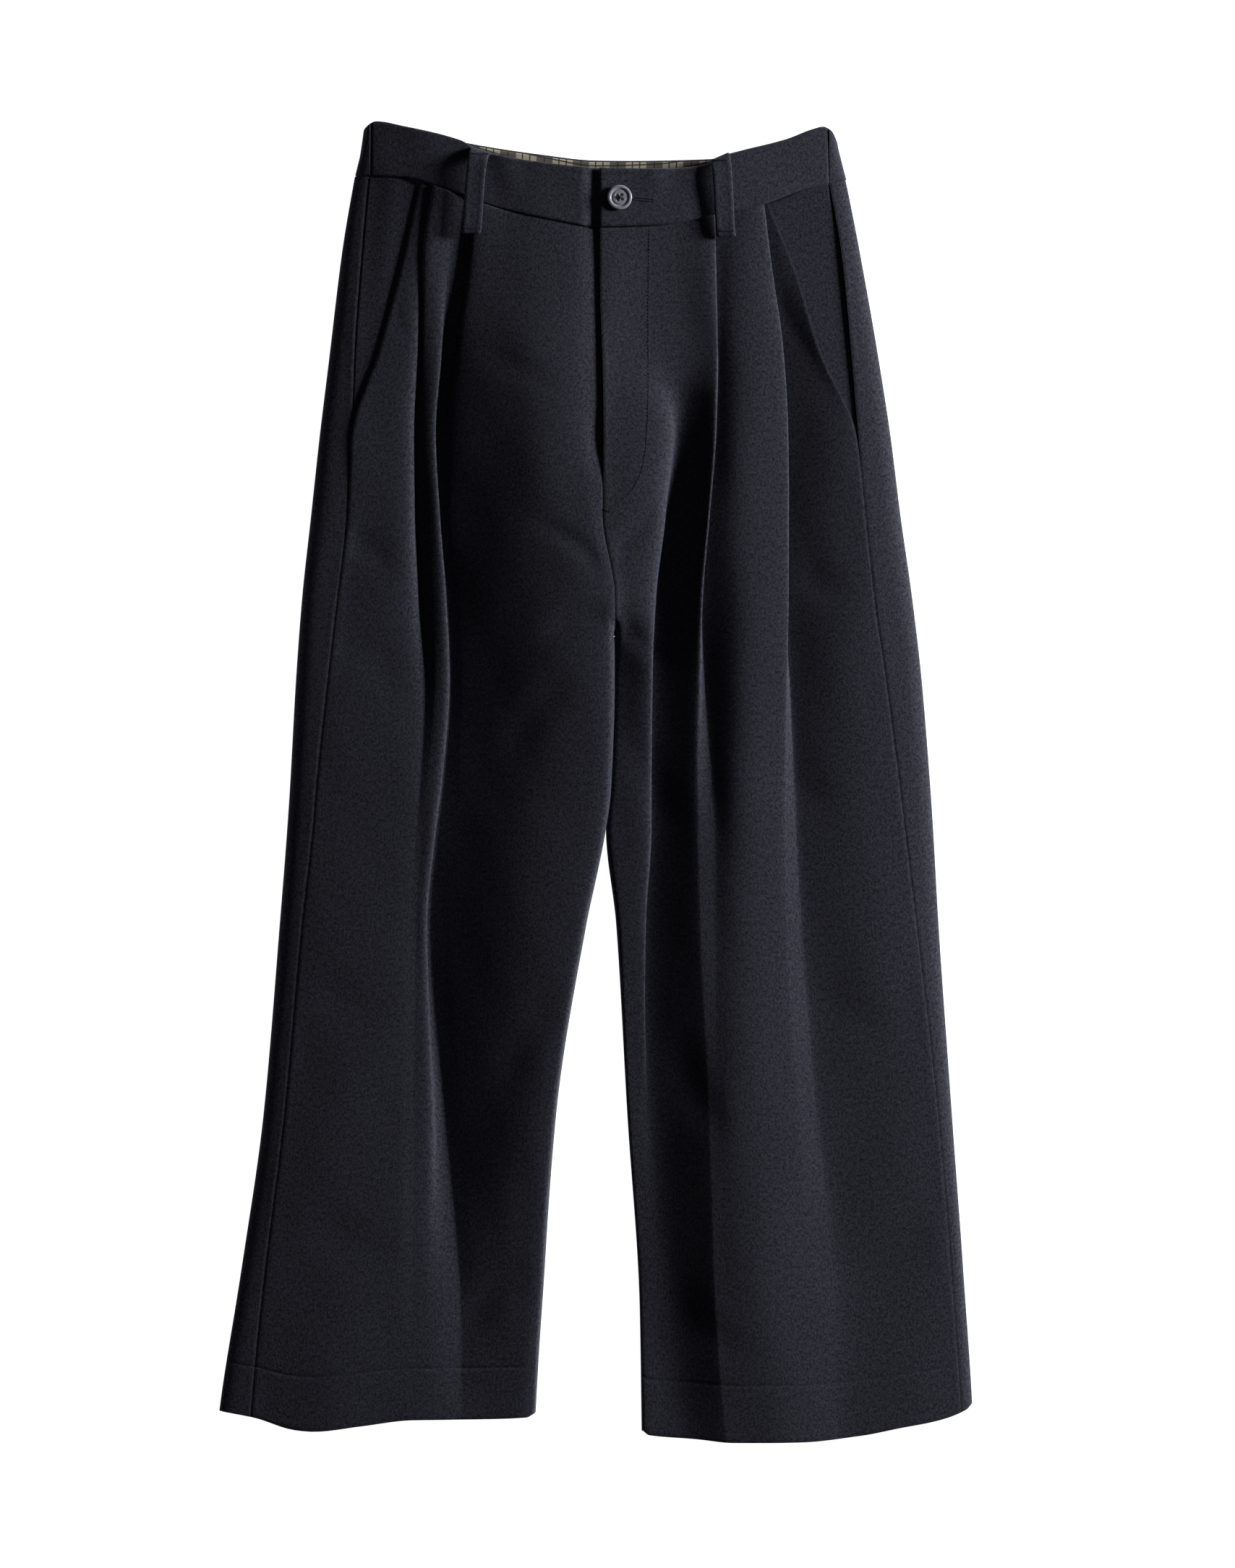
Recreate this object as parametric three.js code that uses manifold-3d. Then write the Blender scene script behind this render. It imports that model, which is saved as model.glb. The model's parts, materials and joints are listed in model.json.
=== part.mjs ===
// Pleated wide-leg trousers of wool cloth, laid out flat on their back with the front upwards. Millimetres,
// +Z up. +X is the wearer's left, on the right when the front is seen from above. +Y runs from the hems to
// the waist. The origin is the middle of the outline, on the surface that the trousers lie on. The two legs
// are tubes that lie flat: the back panels rest on the surface and roll up round the sides to the side
// seams, and the front panels arch over them in the folds that fall from the four pleats.
import * as THREE from "three";
import Module from "manifold-3d";

// Driving sizes
const LENGTH = 969; // lowest point of the hem to the highest corner of the waistband
const OUTLINE_CENTRE_X = 0.75; // middle of the hems' outer corners, from the fly's line
const CLOTH = 1.2; // thickness of the wool cloth
const SEAM_GAP = 0.3; // clearance between pieces that are sewn to each other
const HEM_DEPTH = 42; // height of the turned-up hem, which is two layers of cloth
const HEM_EXTRA = 0.8; // how much thicker the hem is than one layer
const WAIST_LEVEL = 920; // nominal height of the waist seam
const WAIST_EASE = 160; // length over which the sag of the waist seam fades out
const HEM_EASE = 130; // length over which the slant of the hem fades out
const CROTCH_LEVEL = 592; // height where the two legs part
const CROTCH_ROLL = 14; // half the height over which the front rolls down to the fork
const TOUCH_BOTTOM = 447; // the legs lie against each other from here up to the fork
const INSEAM_TUCK = 3; // how far the left leg may reach in under the right one there
const FLY_BOTTOM = 696; // height of the bar tack that ends the fly opening
const FLY_DROP = 4.2; // how far the right front drops under the edge of the left front
const FLY_UNDERLAP = 8; // how far it reaches under that edge
const PLEAT_DEPTH = { outer: 13, inner: 17 }; // cloth folded under each pleat at the waist
const PLEAT_TURN = 3; // reach of the cloth round a pleat's folded edge
const PLEAT_STACK = 5; // least height of a shut pleat's three layers
const SIDE_ROLL = 8; // length of the roll at the side, from the outline inwards
const INSEAM_HEIGHT = 3.8; // where the front's inner edge ends above the surface, over the back's
const BAND_CLOTH = 2.2; // thickness of the waistband, two layers and a stiffener
const POCKET_UNDERLAP = 14; // how far the pocket facing reaches under the front panel
const POCKET_STEP = { right: 1.6, left: 3.4 }; // drop from the front panel's pocket edge to the facing
const LOOP_WIDTH = 14;
const LOOP_CLOTH = 1.5;
const LOOP_GAP = 3; // clear height under a front belt loop, for the belt
const BUTTON_RADIUS = 9;

const MATERIALS = {
  wool: new THREE.MeshStandardMaterial({ color: 0x23242b, roughness: 0.92, metalness: 0 }),
  check: new THREE.MeshStandardMaterial({ color: 0xb5a68c, roughness: 0.85, metalness: 0 }),
  horn: new THREE.MeshStandardMaterial({ color: 0x55565e, roughness: 0.45, metalness: 0 }),
};

// Heights of the sections in the tables below, from the hem up
const LEVELS = [0, 100, 240, 380, 450, 480, 560, 620, 680, 740, 800, 865, 920];

// The lines of each leg, one row for each, with the distance from the fly's line (x) and the height of the
// cloth above the surface (z) at each level. "outline" is the outer edge of the lying leg. Between "edge"
// and "lip" lies the outer panel, "dip" is the groove of the outer pleat, "fold" its folded edge, "crest"
// and "shoulder" belong to the band of cloth between the pleats, "valley" is the groove of the inner pleat,
// "ridge" its folded edge, and "basin", "flank", "crown" and "inner" shape the centre panel up to its "end"
// at the fly, centre seam or inseam.
const RIGHT_LEG = {
  inward: 1,
  outline: [-277, -264.5, -244.5, -232.5, -227, -225, -220.5, -216, -209.5, -203, -195.5, -187, -177.5],
  seam: { x: [-254, -246, -229, -216, -208, -205.5, -197, -190, -182.5, -179.5, -177.5, -172.5, -167.5],
    z: [8, 9, 11, 12, 12.6, 12.6, 12.8, 12.6, 12, 11.6, 11.4, 10.8, 9.5] },
  edge: { x: [-254, -246, -229, -216, -208, -205.5, -197, -190, -182.5, -178.9, -159, -141, -128.5],
    z: [8, 9, 11, 12, 12.6, 12.6, 12.8, 12.6, 12.4, 12.8, 13.4, 13.8, 13.2] },
  mouth: 739,
  pan: { z: [11, 12, 14, 15, 15, 15, 14.6, 14.2, 13.6, 13.4, 13.8, 14.2, 13.2] },
  lip: { x: [-151, -151, -149, -143, -138, -136.5, -131, -131, -132, -132.5, -131, -128.5, -120.5],
    z: [11, 12.5, 14.5, 15.7, 16, 16, 15.5, 15.6, 15, 14.6, 14.4, 14, 13.4] },
  dip: { x: [-141, -142, -142, -137, -132, -129.5, -126, -131, -135, -135.5, -131, -126.5, -119.5],
    z: [11, 12.4, 14.5, 15.5, 15.7, 15.4, 13, 8, 5, 5.4, 9, 12, 12.9] },
  fold: { x: [-131, -133, -132, -131, -126, -123, -116, -118.5, -121, -125.5, -126.5, -126, -118.5],
    z: [11, 12, 14, 15.5, 16.2, 16.5, 16.5, 15, 13.2, 13, 14.2, 16.4, 16.8] },
  crest: { x: [-122, -125, -119, -122, -115, -111, -105, -107.5, -112.5, -115.5, -112, -113, -108],
    z: [10.9, 11.9, 14.2, 16.6, 17.6, 17.8, 17.8, 16.8, 14.6, 14.2, 15.4, 15.6, 15.8] },
  shoulder: { x: [-112, -116, -121, -129, -123, -119, -113, -115.5, -120, -123, -116, -108, -99],
    z: [10.6, 11, 9.8, 8, 7.5, 7.5, 7.5, 7.5, 6.5, 6.5, 10, 14.3, 15.4] },
  valley: { x: [-100, -101, -113, -124, -118, -114, -108, -110.5, -116, -118.5, -109, -101, -92],
    z: [9.9, 8.6, 5.4, 3.6, 3.6, 3.6, 3.6, 3.6, 3.8, 4, 9, 13.2, 13.4] },
  ridge: { x: [-86, -87, -95, -102, -98, -96.5, -96, -98, -105.5, -105, -100, -92, -88],
    z: [10.4, 10.4, 9.6, 9, 8.2, 7.8, 7.2, 7.4, 9, 13.2, 16.4, 18, 18] },
  basin: { x: [-66, -67, -68, -72, -68.5, -67, -69, -72, -74, -72, -72, -69, -66],
    z: [11, 12.6, 15.2, 15.6, 14.8, 14, 13.2, 14.2, 15.8, 18.6, 20.2, 19.4, 17.6] },
  flank: { x: [-59.5, -57, -54, -47, -39, -36, -37, -42, -52, -56, -56, -55, -52],
    z: [11.4, 13, 17.4, 19.6, 19.6, 19.4, 19.4, 19.8, 19.8, 21.2, 22.8, 20.8, 18.8] },
  crown: { x: [-53, -49, -42, -25, -11, -7, -6, -12, -29, -40, -40, -40, -37],
    z: [11.6, 13.6, 18.8, 21.6, 22, 22, 22.4, 22.6, 22.8, 23.4, 24.2, 21.8, 19.5] },
  inner: { x: [-47, -43, -32.5, -10.5, 3.5, 6.5, 8, 5, -5.5, -12, -16, -15, -13.5],
    z: [11, 13.4, 19, 22, 22.2, 22.2, 22.4, 22.8, 23, 22.8, 23, 21.6, 19.6] },
  end: { x: [-45, -40, -30, -7.8, 7, 10.8, 13.4, 13.2, 4.2, 4.2, 3.4, 1.9, 1.8],
    z: [9, 12, 17, 20, 21, 21, 21, 22, 22, 22, 21.8, 20.8, 19.6] },
  shut: { outer: [0, 0, 0, 0, 0, 0, 0, 0, 0, 0, 0.3, 0.9, 1],
    inner: [0, 0, 0, 0, 0, 0, 0, 0, 0, 0.15, 0.45, 0.9, 1] },
};
const LEFT_LEG = {
  inward: -1,
  outline: [275.5, 270.5, 260.5, 250.5, 246.5, 244.5, 238, 231, 222.5, 215, 205.5, 193.5, 182.5],
  seam: { x: [267, 261.5, 250, 234, 225.5, 222, 211.5, 203, 196.5, 191, 186, 179.5, 170.5],
    z: [9, 10, 12, 13, 13.8, 14, 15, 15.5, 14.8, 14, 13, 11.8, 10] },
  edge: { x: [267, 261.5, 250, 234, 225.5, 222, 211.5, 203, 196.5, 189.5, 163.5, 144.5, 126],
    z: [9, 10, 12, 13, 13.8, 14, 15, 15.5, 16, 16, 14.8, 13.6, 13] },
  mouth: 711,
  pan: { z: [10, 10.8, 13, 14.8, 15.2, 15.4, 15.4, 15.4, 15.2, 14.8, 12.8, 12.8, 12.7] },
  lip: { x: [188, 188, 184, 168, 162, 160, 156, 152, 149, 146, 141, 130, 122.5],
    z: [9.5, 10, 10.8, 11.8, 11.8, 11.8, 11.6, 11.4, 11.4, 11.2, 10.8, 11.8, 12.4] },
  dip: { x: [177, 177, 163, 151, 147, 145.5, 141, 136, 132, 132, 128, 120, 117],
    z: [10, 10.3, 10.2, 10.2, 10, 9.8, 9, 8.4, 8.4, 8.6, 9, 10.4, 12] },
  fold: { x: [154, 150, 143, 134, 133.5, 134.5, 138, 141, 142, 141, 137, 127.5, 121],
    z: [12.2, 13.6, 15.2, 15.6, 15.6, 15.4, 15.6, 16.4, 16.6, 16.8, 16.6, 15.9, 15.4] },
  crest: { x: [138, 129, 120, 113, 113, 113.5, 112, 112, 111, 111, 113.5, 111, 110],
    z: [13.6, 16, 17.6, 17.6, 17.2, 17, 16.8, 17.4, 17.8, 18, 17.8, 17, 15.6] },
  shoulder: { x: [122, 112, 100, 99, 98.5, 98.5, 98, 97.5, 96.5, 98, 98.5, 97, 99],
    z: [13, 15.8, 17.2, 16.8, 15.8, 15.6, 14.8, 15.8, 16.4, 16.8, 16.9, 16.4, 15.2] },
  valley: { x: [104, 96, 90, 88, 88, 86, 79, 76, 81, 87, 88.5, 88.5, 88],
    z: [12, 14.4, 15.6, 14.6, 12.4, 10.6, 8.4, 9.6, 12, 13, 13.6, 14, 13.8] },
  ridge: { x: [92, 84, 80, 72, 70, 70, 74, 77.5, 82.5, 86.5, 87.5, 86, 85],
    z: [11.2, 13.4, 14.2, 13.8, 12.8, 13.2, 15, 18.4, 19.6, 19.8, 19.4, 19.2, 17.8] },
  basin: { x: [70, 62, 48, 41, 43, 43, 44, 46, 55, 62, 69, 66, 61],
    z: [7, 6.4, 5.2, 4, 3.6, 3.6, 3.6, 3.8, 4.6, 9.6, 15.6, 17, 17.4] },
  flank: { x: [60, 52, 37, 30, 34, 34, 34, 38, 47, 56, 50, 50, 48],
    z: [6.4, 5.2, 4.4, 4.4, 5, 5, 5.5, 7, 8.5, 13, 16.6, 17.6, 17.8] },
  crown: { x: [48, 44, 36, 40, 45, 45, 46, 48, 54, 53, 34, 34, 33],
    z: [6, 4.8, 5, 9.4, 13.8, 14, 16, 20.4, 22, 20.8, 18.4, 18, 18.2] },
  inner: { x: [38.5, 36, 26, 20, 15, 17, 19.8, 19.3, 13, 11.5, 10.5, 10.5, 10.5],
    z: [6, 4.9, 5.2, 8, 10.4, 10.2, 10, 21, 21.8, 21.4, 20.8, 20.2, 19.4] },
  end: { x: [33, 31.5, 22.5, 14.3, 6.8, 9.6, 12.7, 13.6, 4.6, 4.8, 4, 2.3, 2.2],
    z: [6, 4.9, 5.2, 8, 7.4, 7, 8, 22, 22, 22, 21.8, 20.8, 19.6] },
  shut: { outer: [0, 0, 0, 0, 0, 0, 0, 0.1, 0.2, 0.3, 0.5, 0.9, 1],
    inner: [0, 0, 0, 0, 0, 0, 0, 0, 0, 0, 0, 0.9, 1] },
};

// Lines that run across the garment: x positions and the height y of the line there
const WAIST_SEAM = { x: [-182, -141, -115, -72, -35, 0, 46, 90, 124, 150, 184],
  y: [929, 927, 919.5, 904, 895.5, 890, 891.5, 900, 908, 918, 926] };
const HEM_LINE = {
  right: { x: [-276, -251.5, -221, -208, -173, -135, -92, -52, -45],
    y: [22.5, 18, 9, 8, 12, 16.5, 17, 18.5, 22] },
  left: { x: [34, 38.5, 75, 100, 150, 193, 222, 252, 271, 275],
    y: [8, 4.8, 2, 0, 0.5, 4.8, 10.5, 16.5, 24, 28] },
};
const BAND_TOP_BACK = { x: [-173, -169, -162, -141, -96, -42, 0, 26, 83, 105, 139, 158, 166, 172, 176],
  y: [955, 965, 969, 965, 954, 945.5, 941, 940.8, 942, 946.5, 955.5, 963, 965, 962, 953] };
const BAND_TOP_FRONT = {
  x: [-173, -169, -162, -141, -100, -86, -42, 0, 50, 77, 91, 105, 139, 158, 166, 172, 176],
  y: [955, 965, 969, 965, 954.5, 947, 938, 933.8, 933, 935.5, 942.5, 946.5, 955.5, 963, 965, 962, 953] };

// Height of the front waistband's halves above the surface, and the x of their columns. The right half
// drops at the fly and runs on under the left one.
const FRONT_BAND = {
  right: { x: [-167, -150, -128, -99, -60, -37, -12, 0, 30],
    z: [9.6, 11.8, 14, 15.6, 18.2, 19.6, 20, 17.4, 17.1],
    columns: [-165.7, -155, -141, -125, -108, -88, -66, -44, -24, -12, -6, 0, 14, 29] },
  left: { x: [1, 31, 61, 99, 124, 150, 171], z: [20.4, 20, 19, 16, 14.2, 12, 9.9],
    columns: [2, 12, 26, 42, 60, 80, 98, 116, 132, 146, 159, 169.7] },
};
const BAND_LEAN = 1; // how much lower the front band's top edge lies than its seam
// The back waistband's side seams, and the outer ends of the rolls at its sides, at its lower and its upper
// edge.
const BACK_BAND = {
  right: { seam: -166, nose: [-177.2, -170], inward: 1 },
  left: { seam: 170, nose: [183.2, 175.5], inward: -1 },
};
const BACK_BAND_SEAM_HEIGHT = 9.6; // middle of the band at its side seams, above the surface
const BACK_BAND_HEIGHT = 3.2; // middle of the band where it lies over the back belt loops
const LINING_CLOTH = 1;
const LINING_COLUMNS = [-150, -125, -100, -70, -35, 0, 35, 70, 100, 125, 150];
// X of each loop's middle, at its top and its end
const FRONT_LOOPS = { right: [-84.5, -92.5], left: [89.5, 95] };
const LOOP_END = { right: 885.5, left: 883 }; // level of each front loop's lower end
const BACK_LOOP_SPOT = 118; // distance of the two side back loops from the middle
const BACK_SHORTER = 2.5; // how much higher the back hem ends than the front hem
const BUTTON_SPOT = [16.7, 911.4, 21.2];

// Value of a table at t, on a cubic curve through its entries that never overshoots them.
function along(places, values, t) {
  const last = places.length - 1;
  if (t <= places[0]) return values[0];
  if (t >= places[last]) return values[last];
  let i = 0;
  while (t > places[i + 1]) i += 1;
  const rise = (k) => (values[k + 1] - values[k]) / (places[k + 1] - places[k]);
  const slope = (k) => {
    if (k === 0) return rise(0);
    if (k === last) return rise(last - 1);
    const before = rise(k - 1);
    const after = rise(k);
    return before * after <= 0 ? 0 : (2 * before * after) / (before + after);
  };
  const step = places[i + 1] - places[i];
  const u = (t - places[i]) / step;
  return (
    values[i] * (1 + 2 * u) * (1 - u) ** 2 +
    slope(i) * step * u * (1 - u) ** 2 +
    values[i + 1] * u * u * (3 - 2 * u) +
    slope(i + 1) * step * u * u * (u - 1)
  );
}

const atLevel = (values, y) => along(LEVELS, values, y);
const mix = (a, b, share) => a + (b - a) * share;
const ramp = (t, from, to) => THREE.MathUtils.smoothstep(t, from, to);

// The height in the frame of a point of a panel at nominal level y: the waist end follows the sagging waist
// seam, and the hem end the slanting hem.
function panelHeight(x, y, side, shorten = 0) {
  const depth = along(WAIST_SEAM.x, WAIST_SEAM.y, x) - WAIST_LEVEL;
  const sag = depth * ramp(y, WAIST_LEVEL - WAIST_EASE, WAIST_LEVEL);
  const hem = HEM_LINE[side];
  const slant = (along(hem.x, hem.y, x) + shorten) * (1 - ramp(y, 0, HEM_EASE));
  return y + sag + slant;
}

// Points of the uniform cubic B-spline with the given control points [x, z]. It starts and ends on the
// first and last of them, and each span between two of them is cut into the stated number of steps.
function spline(controls, steps) {
  const n = controls.length;
  const reflect = (a, b) => [2 * a[0] - b[0], 2 * a[1] - b[1]];
  const all = [reflect(controls[0], controls[1]), ...controls, reflect(controls[n - 1], controls[n - 2])];
  const points = [];
  for (let i = 0; i < n - 1; i += 1) {
    for (let k = 0; k < steps[i]; k += 1) {
      const u = k / steps[i];
      const second = 3 * u ** 3 - 6 * u * u + 4;
      const third = -3 * u ** 3 + 3 * u * u + 3 * u + 1;
      const weights = [(1 - u) ** 3, second, third, u ** 3];
      points.push([0, 1].map((c) => weights.reduce((sum, w, j) => sum + w * all[i + j][c], 0) / 6));
    }
  }
  points.push(controls[n - 1]);
  return points;
}

// The six control points that lead the cloth from a groove up to a pleat's folded edge. Shut, the cloth
// runs under the edge for the pleat's depth, turns back to the edge and turns again. Open, it is a plain
// slope.
function pleat(dip, fold, depth, shut, inward) {
  const [dipX, dipZ] = dip;
  const [foldX, foldZ] = fold;
  const lowZ = Math.min(dipZ, foldZ - PLEAT_STACK);
  const middleZ = (lowZ + foldZ) / 2;
  const closed = [
    [foldX + depth * inward, lowZ],
    [foldX + (depth + PLEAT_TURN) * inward, (lowZ + middleZ) / 2],
    [foldX + depth * inward, middleZ],
    [foldX + PLEAT_TURN * inward, middleZ],
    [foldX - PLEAT_TURN * inward, (middleZ + foldZ) / 2],
    [foldX + PLEAT_TURN * inward, foldZ],
  ];
  return closed.map(([x, z], i) => {
    const share = (i + 1) / 7;
    return [mix(mix(dipX, foldX, share), x, shut), mix(mix(dipZ, foldZ, share), z, shut)];
  });
}

// How far the inner end of a front panel has rolled down to the inseam at level y: 0 above the fork, 1
// below it.
const rolledDown = (y) => 1 - ramp(y, CROTCH_LEVEL - CROTCH_ROLL, CROTCH_LEVEL + CROTCH_ROLL);

// How far the right leg's lower edge draws back below the fork, so that the left leg reaches in under its
// upper edge.
function inseamTuck(leg, y) {
  if (leg.inward < 0) return 0;
  const started = ramp(y, TOUCH_BOTTOM - 45, TOUCH_BOTTOM + 5);
  return INSEAM_TUCK * started * (1 - ramp(y, CROTCH_LEVEL, CROTCH_LEVEL + CROTCH_ROLL));
}

// The outer edge of a front panel: the side seam up to the pocket mouth, and the slanting pocket mouth
// above it.
function mouthEdge(leg, y) {
  const seamX = atLevel(leg.seam.x, y);
  return [y < leg.mouth ? seamX : atLevel(leg.edge.x, y), atLevel(leg.edge.z, y)];
}

// Control points of a front panel's section at level y, from its outer edge to its inner end.
function frontControls(leg, y) {
  const at = (name) => [atLevel(leg[name].x, y), atLevel(leg[name].z, y)];
  const { inward } = leg;
  const [edgeX, edgeZ] = mouthEdge(leg, y);
  const [lipX, lipZ] = at("lip");
  const [innerX, innerZ] = at("inner");
  const [endX, endZ] = at("end");
  const pan = [(edgeX + lipX) / 2, atLevel(leg.pan.z, y)];
  const tip = endX + (inward > 0 ? FLY_UNDERLAP * ramp(y, FLY_BOTTOM + 34, FLY_BOTTOM + 74) : 0);
  const tipZ = endZ - (inward > 0 ? FLY_DROP * ramp(y, FLY_BOTTOM, FLY_BOTTOM + 50) : 0);
  const tuck = inseamTuck(leg, y);
  const flatEnd = [1, 2, 3].map((k) => [mix(innerX, tip, k / 3), mix(innerZ, tipZ, k / 3)]);
  const rolledEnd = [
    [endX - 1.6 * inward, mix(INSEAM_HEIGHT, innerZ, 0.94)],
    [endX - 0.2 * inward, mix(INSEAM_HEIGHT, innerZ, mix(0.46, 0.6, tuck / INSEAM_TUCK))],
    [endX - 0.6 * inward - tuck, INSEAM_HEIGHT],
  ];
  const roll = rolledDown(y);
  const end = flatEnd.map(([x, z], i) => [mix(x, rolledEnd[i][0], roll), mix(z, rolledEnd[i][1], roll)]);
  return [
    [edgeX, edgeZ],
    pan,
    [lipX, lipZ],
    at("dip"),
    ...pleat(at("dip"), at("fold"), PLEAT_DEPTH.outer, atLevel(leg.shut.outer, y), inward),
    at("crest"),
    at("shoulder"),
    at("valley"),
    ...pleat(at("valley"), at("ridge"), PLEAT_DEPTH.inner, atLevel(leg.shut.inner, y), inward),
    at("basin"),
    at("flank"),
    at("crown"),
    [innerX, innerZ],
    ...end,
  ];
}
// Steps in each span of that section: broad stretches get two or three, the turns of the pleats one
const FRONT_STEPS = [2, 2, 1, 1, 1, 1, 1, 1, 1, 1, 1, 1, 1, 1, 1, 1, 1, 1, 2, 1, 1, 2, 1, 1, 1];

// Control points of a back panel's section at level y, from the side seam, round the roll at the side,
// along the surface to the centre back seam or the inseam.
function backControls(leg, y) {
  const { inward } = leg;
  const outline = atLevel(leg.outline, y) + (CLOTH / 2) * inward;
  const seamX = atLevel(leg.seam.x, y) - SEAM_GAP * inward;
  const seamZ = atLevel(leg.seam.z, y);
  const lowZ = CLOTH / 2 + backLift(y);
  const roll = Math.min(SIDE_ROLL, 0.5 * Math.abs(seamX - outline));
  const rollX = outline + roll * inward;
  const nose = outline - 0.35 * roll * inward;
  const centre = centreBack(y);
  const gap = (SEAM_GAP / 2) * inward;
  const innerX = y < CROTCH_LEVEL ? atLevel(leg.end.x, y) - inseamTuck(leg, y) : centre - gap;
  const floor = [0.12, 0.4, 0.7, 0.93].map((share) => [mix(rollX, innerX, share), lowZ]);
  return [
    [seamX, seamZ],
    [mix(seamX, rollX, 0.6), mix(seamZ, lowZ, 0.06)],
    [mix(rollX, nose, 0.3), mix(seamZ, lowZ, 0.14)],
    [nose, mix(seamZ, lowZ, 0.5)],
    [mix(rollX, nose, 0.3), lowZ],
    ...floor,
    [innerX, lowZ],
  ];
}
const BACK_STEPS = [1, 1, 2, 2, 1, 2, 2, 2, 1];

// The centre back seam runs from the fork to the middle of the waist.
const centreBack = (y) => mix(14, 2, ramp(y, CROTCH_LEVEL, WAIST_LEVEL));
// Near the waist the back lies on the back belt loops, which raise it off the surface.
const backLift = (y) => 2 * ramp(y, 840, 895);

// On the hollow side of a sharp fold the wall's corner moves out by at most 1 / this
const MITRE_LIMIT = 0.4;

// A closed wall round a grid of points on its middle surface. outer and inner give the offsets to each side
// of it at a grid row, and upright how far the first and the last column's edges are turned upright, where
// seams meet.
function wall(grid, outer, inner, upright = [() => 0, () => 0]) {
  const rows = grid.length;
  const cols = grid[0].length;
  const frames = grid.map((line, i) =>
    line.map((p, j) => {
      const before = p.clone().sub(grid[i][Math.max(j - 1, 0)]).normalize();
      const after = grid[i][Math.min(j + 1, cols - 1)].clone().sub(p).normalize();
      const alongX = before.clone().add(after);
      const alongY = grid[Math.min(i + 1, rows - 1)][j].clone().sub(grid[Math.max(i - 1, 0)][j]);
      const normal = alongX.clone().cross(alongY).normalize();
      const turn = j === 0 ? upright[0](i) : j === cols - 1 ? upright[1](i) : 0;
      normal.lerp(new THREE.Vector3(0, 0, Math.sign(normal.z) || 1), turn).normalize();
      const inward = after.sub(before).dot(normal);
      const ends = j === 0 || j === cols - 1;
      return { normal, inward, mitre: ends ? 1 : 1 / Math.max(alongX.length() / 2, MITRE_LIMIT) };
    }),
  );
  const positions = [];
  [1, -1].forEach((face) =>
    grid.forEach((line, i) =>
      line.forEach((p, j) => {
        const { normal, inward, mitre } = frames[i][j];
        const reach = (face > 0 ? outer(i) : -inner(i)) * (inward * face > 0 ? mitre : 1);
        positions.push(...p.clone().addScaledVector(normal, reach).toArray());
      }),
    ),
  );
  const id = (face, i, j) => face * rows * cols + i * cols + j;
  const index = [];
  const quad = (a, b, c, d) => index.push(a, b, c, a, c, d);
  for (let i = 0; i < rows - 1; i += 1) {
    for (let j = 0; j < cols - 1; j += 1) {
      quad(id(0, i, j), id(0, i, j + 1), id(0, i + 1, j + 1), id(0, i + 1, j));
      quad(id(1, i, j), id(1, i + 1, j), id(1, i + 1, j + 1), id(1, i, j + 1));
    }
  }
  for (let j = 0; j < cols - 1; j += 1) {
    quad(id(1, 0, j), id(1, 0, j + 1), id(0, 0, j + 1), id(0, 0, j));
    quad(id(0, rows - 1, j), id(0, rows - 1, j + 1), id(1, rows - 1, j + 1), id(1, rows - 1, j));
  }
  for (let i = 0; i < rows - 1; i += 1) {
    quad(id(1, i, 0), id(0, i, 0), id(0, i + 1, 0), id(1, i + 1, 0));
    quad(id(0, i, cols - 1), id(1, i, cols - 1), id(1, i + 1, cols - 1), id(0, i + 1, cols - 1));
  }
  const geometry = new THREE.BufferGeometry();
  geometry.setAttribute("position", new THREE.Float32BufferAttribute(positions, 3));
  geometry.setIndex(index);
  return faceOut(geometry);
}

// Turns every face of a closed geometry round if its volume comes out negative.
function faceOut(geometry) {
  const p = geometry.attributes.position;
  const index = geometry.index.array;
  const corner = (k) => new THREE.Vector3().fromBufferAttribute(p, index[k]);
  let volume = 0;
  for (let k = 0; k < index.length; k += 3) volume += corner(k).dot(corner(k + 1).cross(corner(k + 2)));
  if (volume < 0) {
    for (let k = 0; k < index.length; k += 3) [index[k + 1], index[k + 2]] = [index[k + 2], index[k + 1]];
  }
  return geometry;
}

// Nominal levels of the rows of the panels. The two rows at the hem stitching make the step of the hem.
const HEM_ROWS = [0, HEM_DEPTH - 1, HEM_DEPTH + 1];
const FRONT_ROWS = [...HEM_ROWS, 100, 170, 240, 310, 380, 430, 480, 525, 560, 576, 584, 592, 600, 608,
  630, 660, 690, 715, 745, 775, 805, 835, 865, 890, 908, WAIST_LEVEL - SEAM_GAP];
const BACK_ROWS = [...HEM_ROWS, 100, 170, 240, 310, 380, 480, 560, CROTCH_LEVEL, 630, 690, 745, 805, 865, 890,
  WAIST_LEVEL - 2 * SEAM_GAP];

const hemExtra = (rows, i) => (rows[i] < HEM_DEPTH ? HEM_EXTRA : 0);

// Offsets of a panel's wall: half the cloth to the outside of the garment and half to its inside, where the
// hem is thicker. The normals of a right front's grid point outwards; those of a left front's and a right
// back's, inwards.
function offsets(rows, outwards) {
  const outside = () => CLOTH / 2;
  const inside = (i) => CLOTH / 2 + hemExtra(rows, i);
  return outwards ? [outside, inside] : [inside, outside];
}

const frontLine = (leg, y) => spline(frontControls(leg, y), FRONT_STEPS);

function frontPanel(leg, side) {
  const grid = FRONT_ROWS.map((y) =>
    frontLine(leg, y).map(([x, z]) => new THREE.Vector3(x, panelHeight(x, y, side), z)),
  );
  const upright = [() => 1, (i) => (1 - rolledDown(FRONT_ROWS[i])) ** 6];
  return wall(grid, ...offsets(FRONT_ROWS, leg.inward > 0), upright);
}

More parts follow.
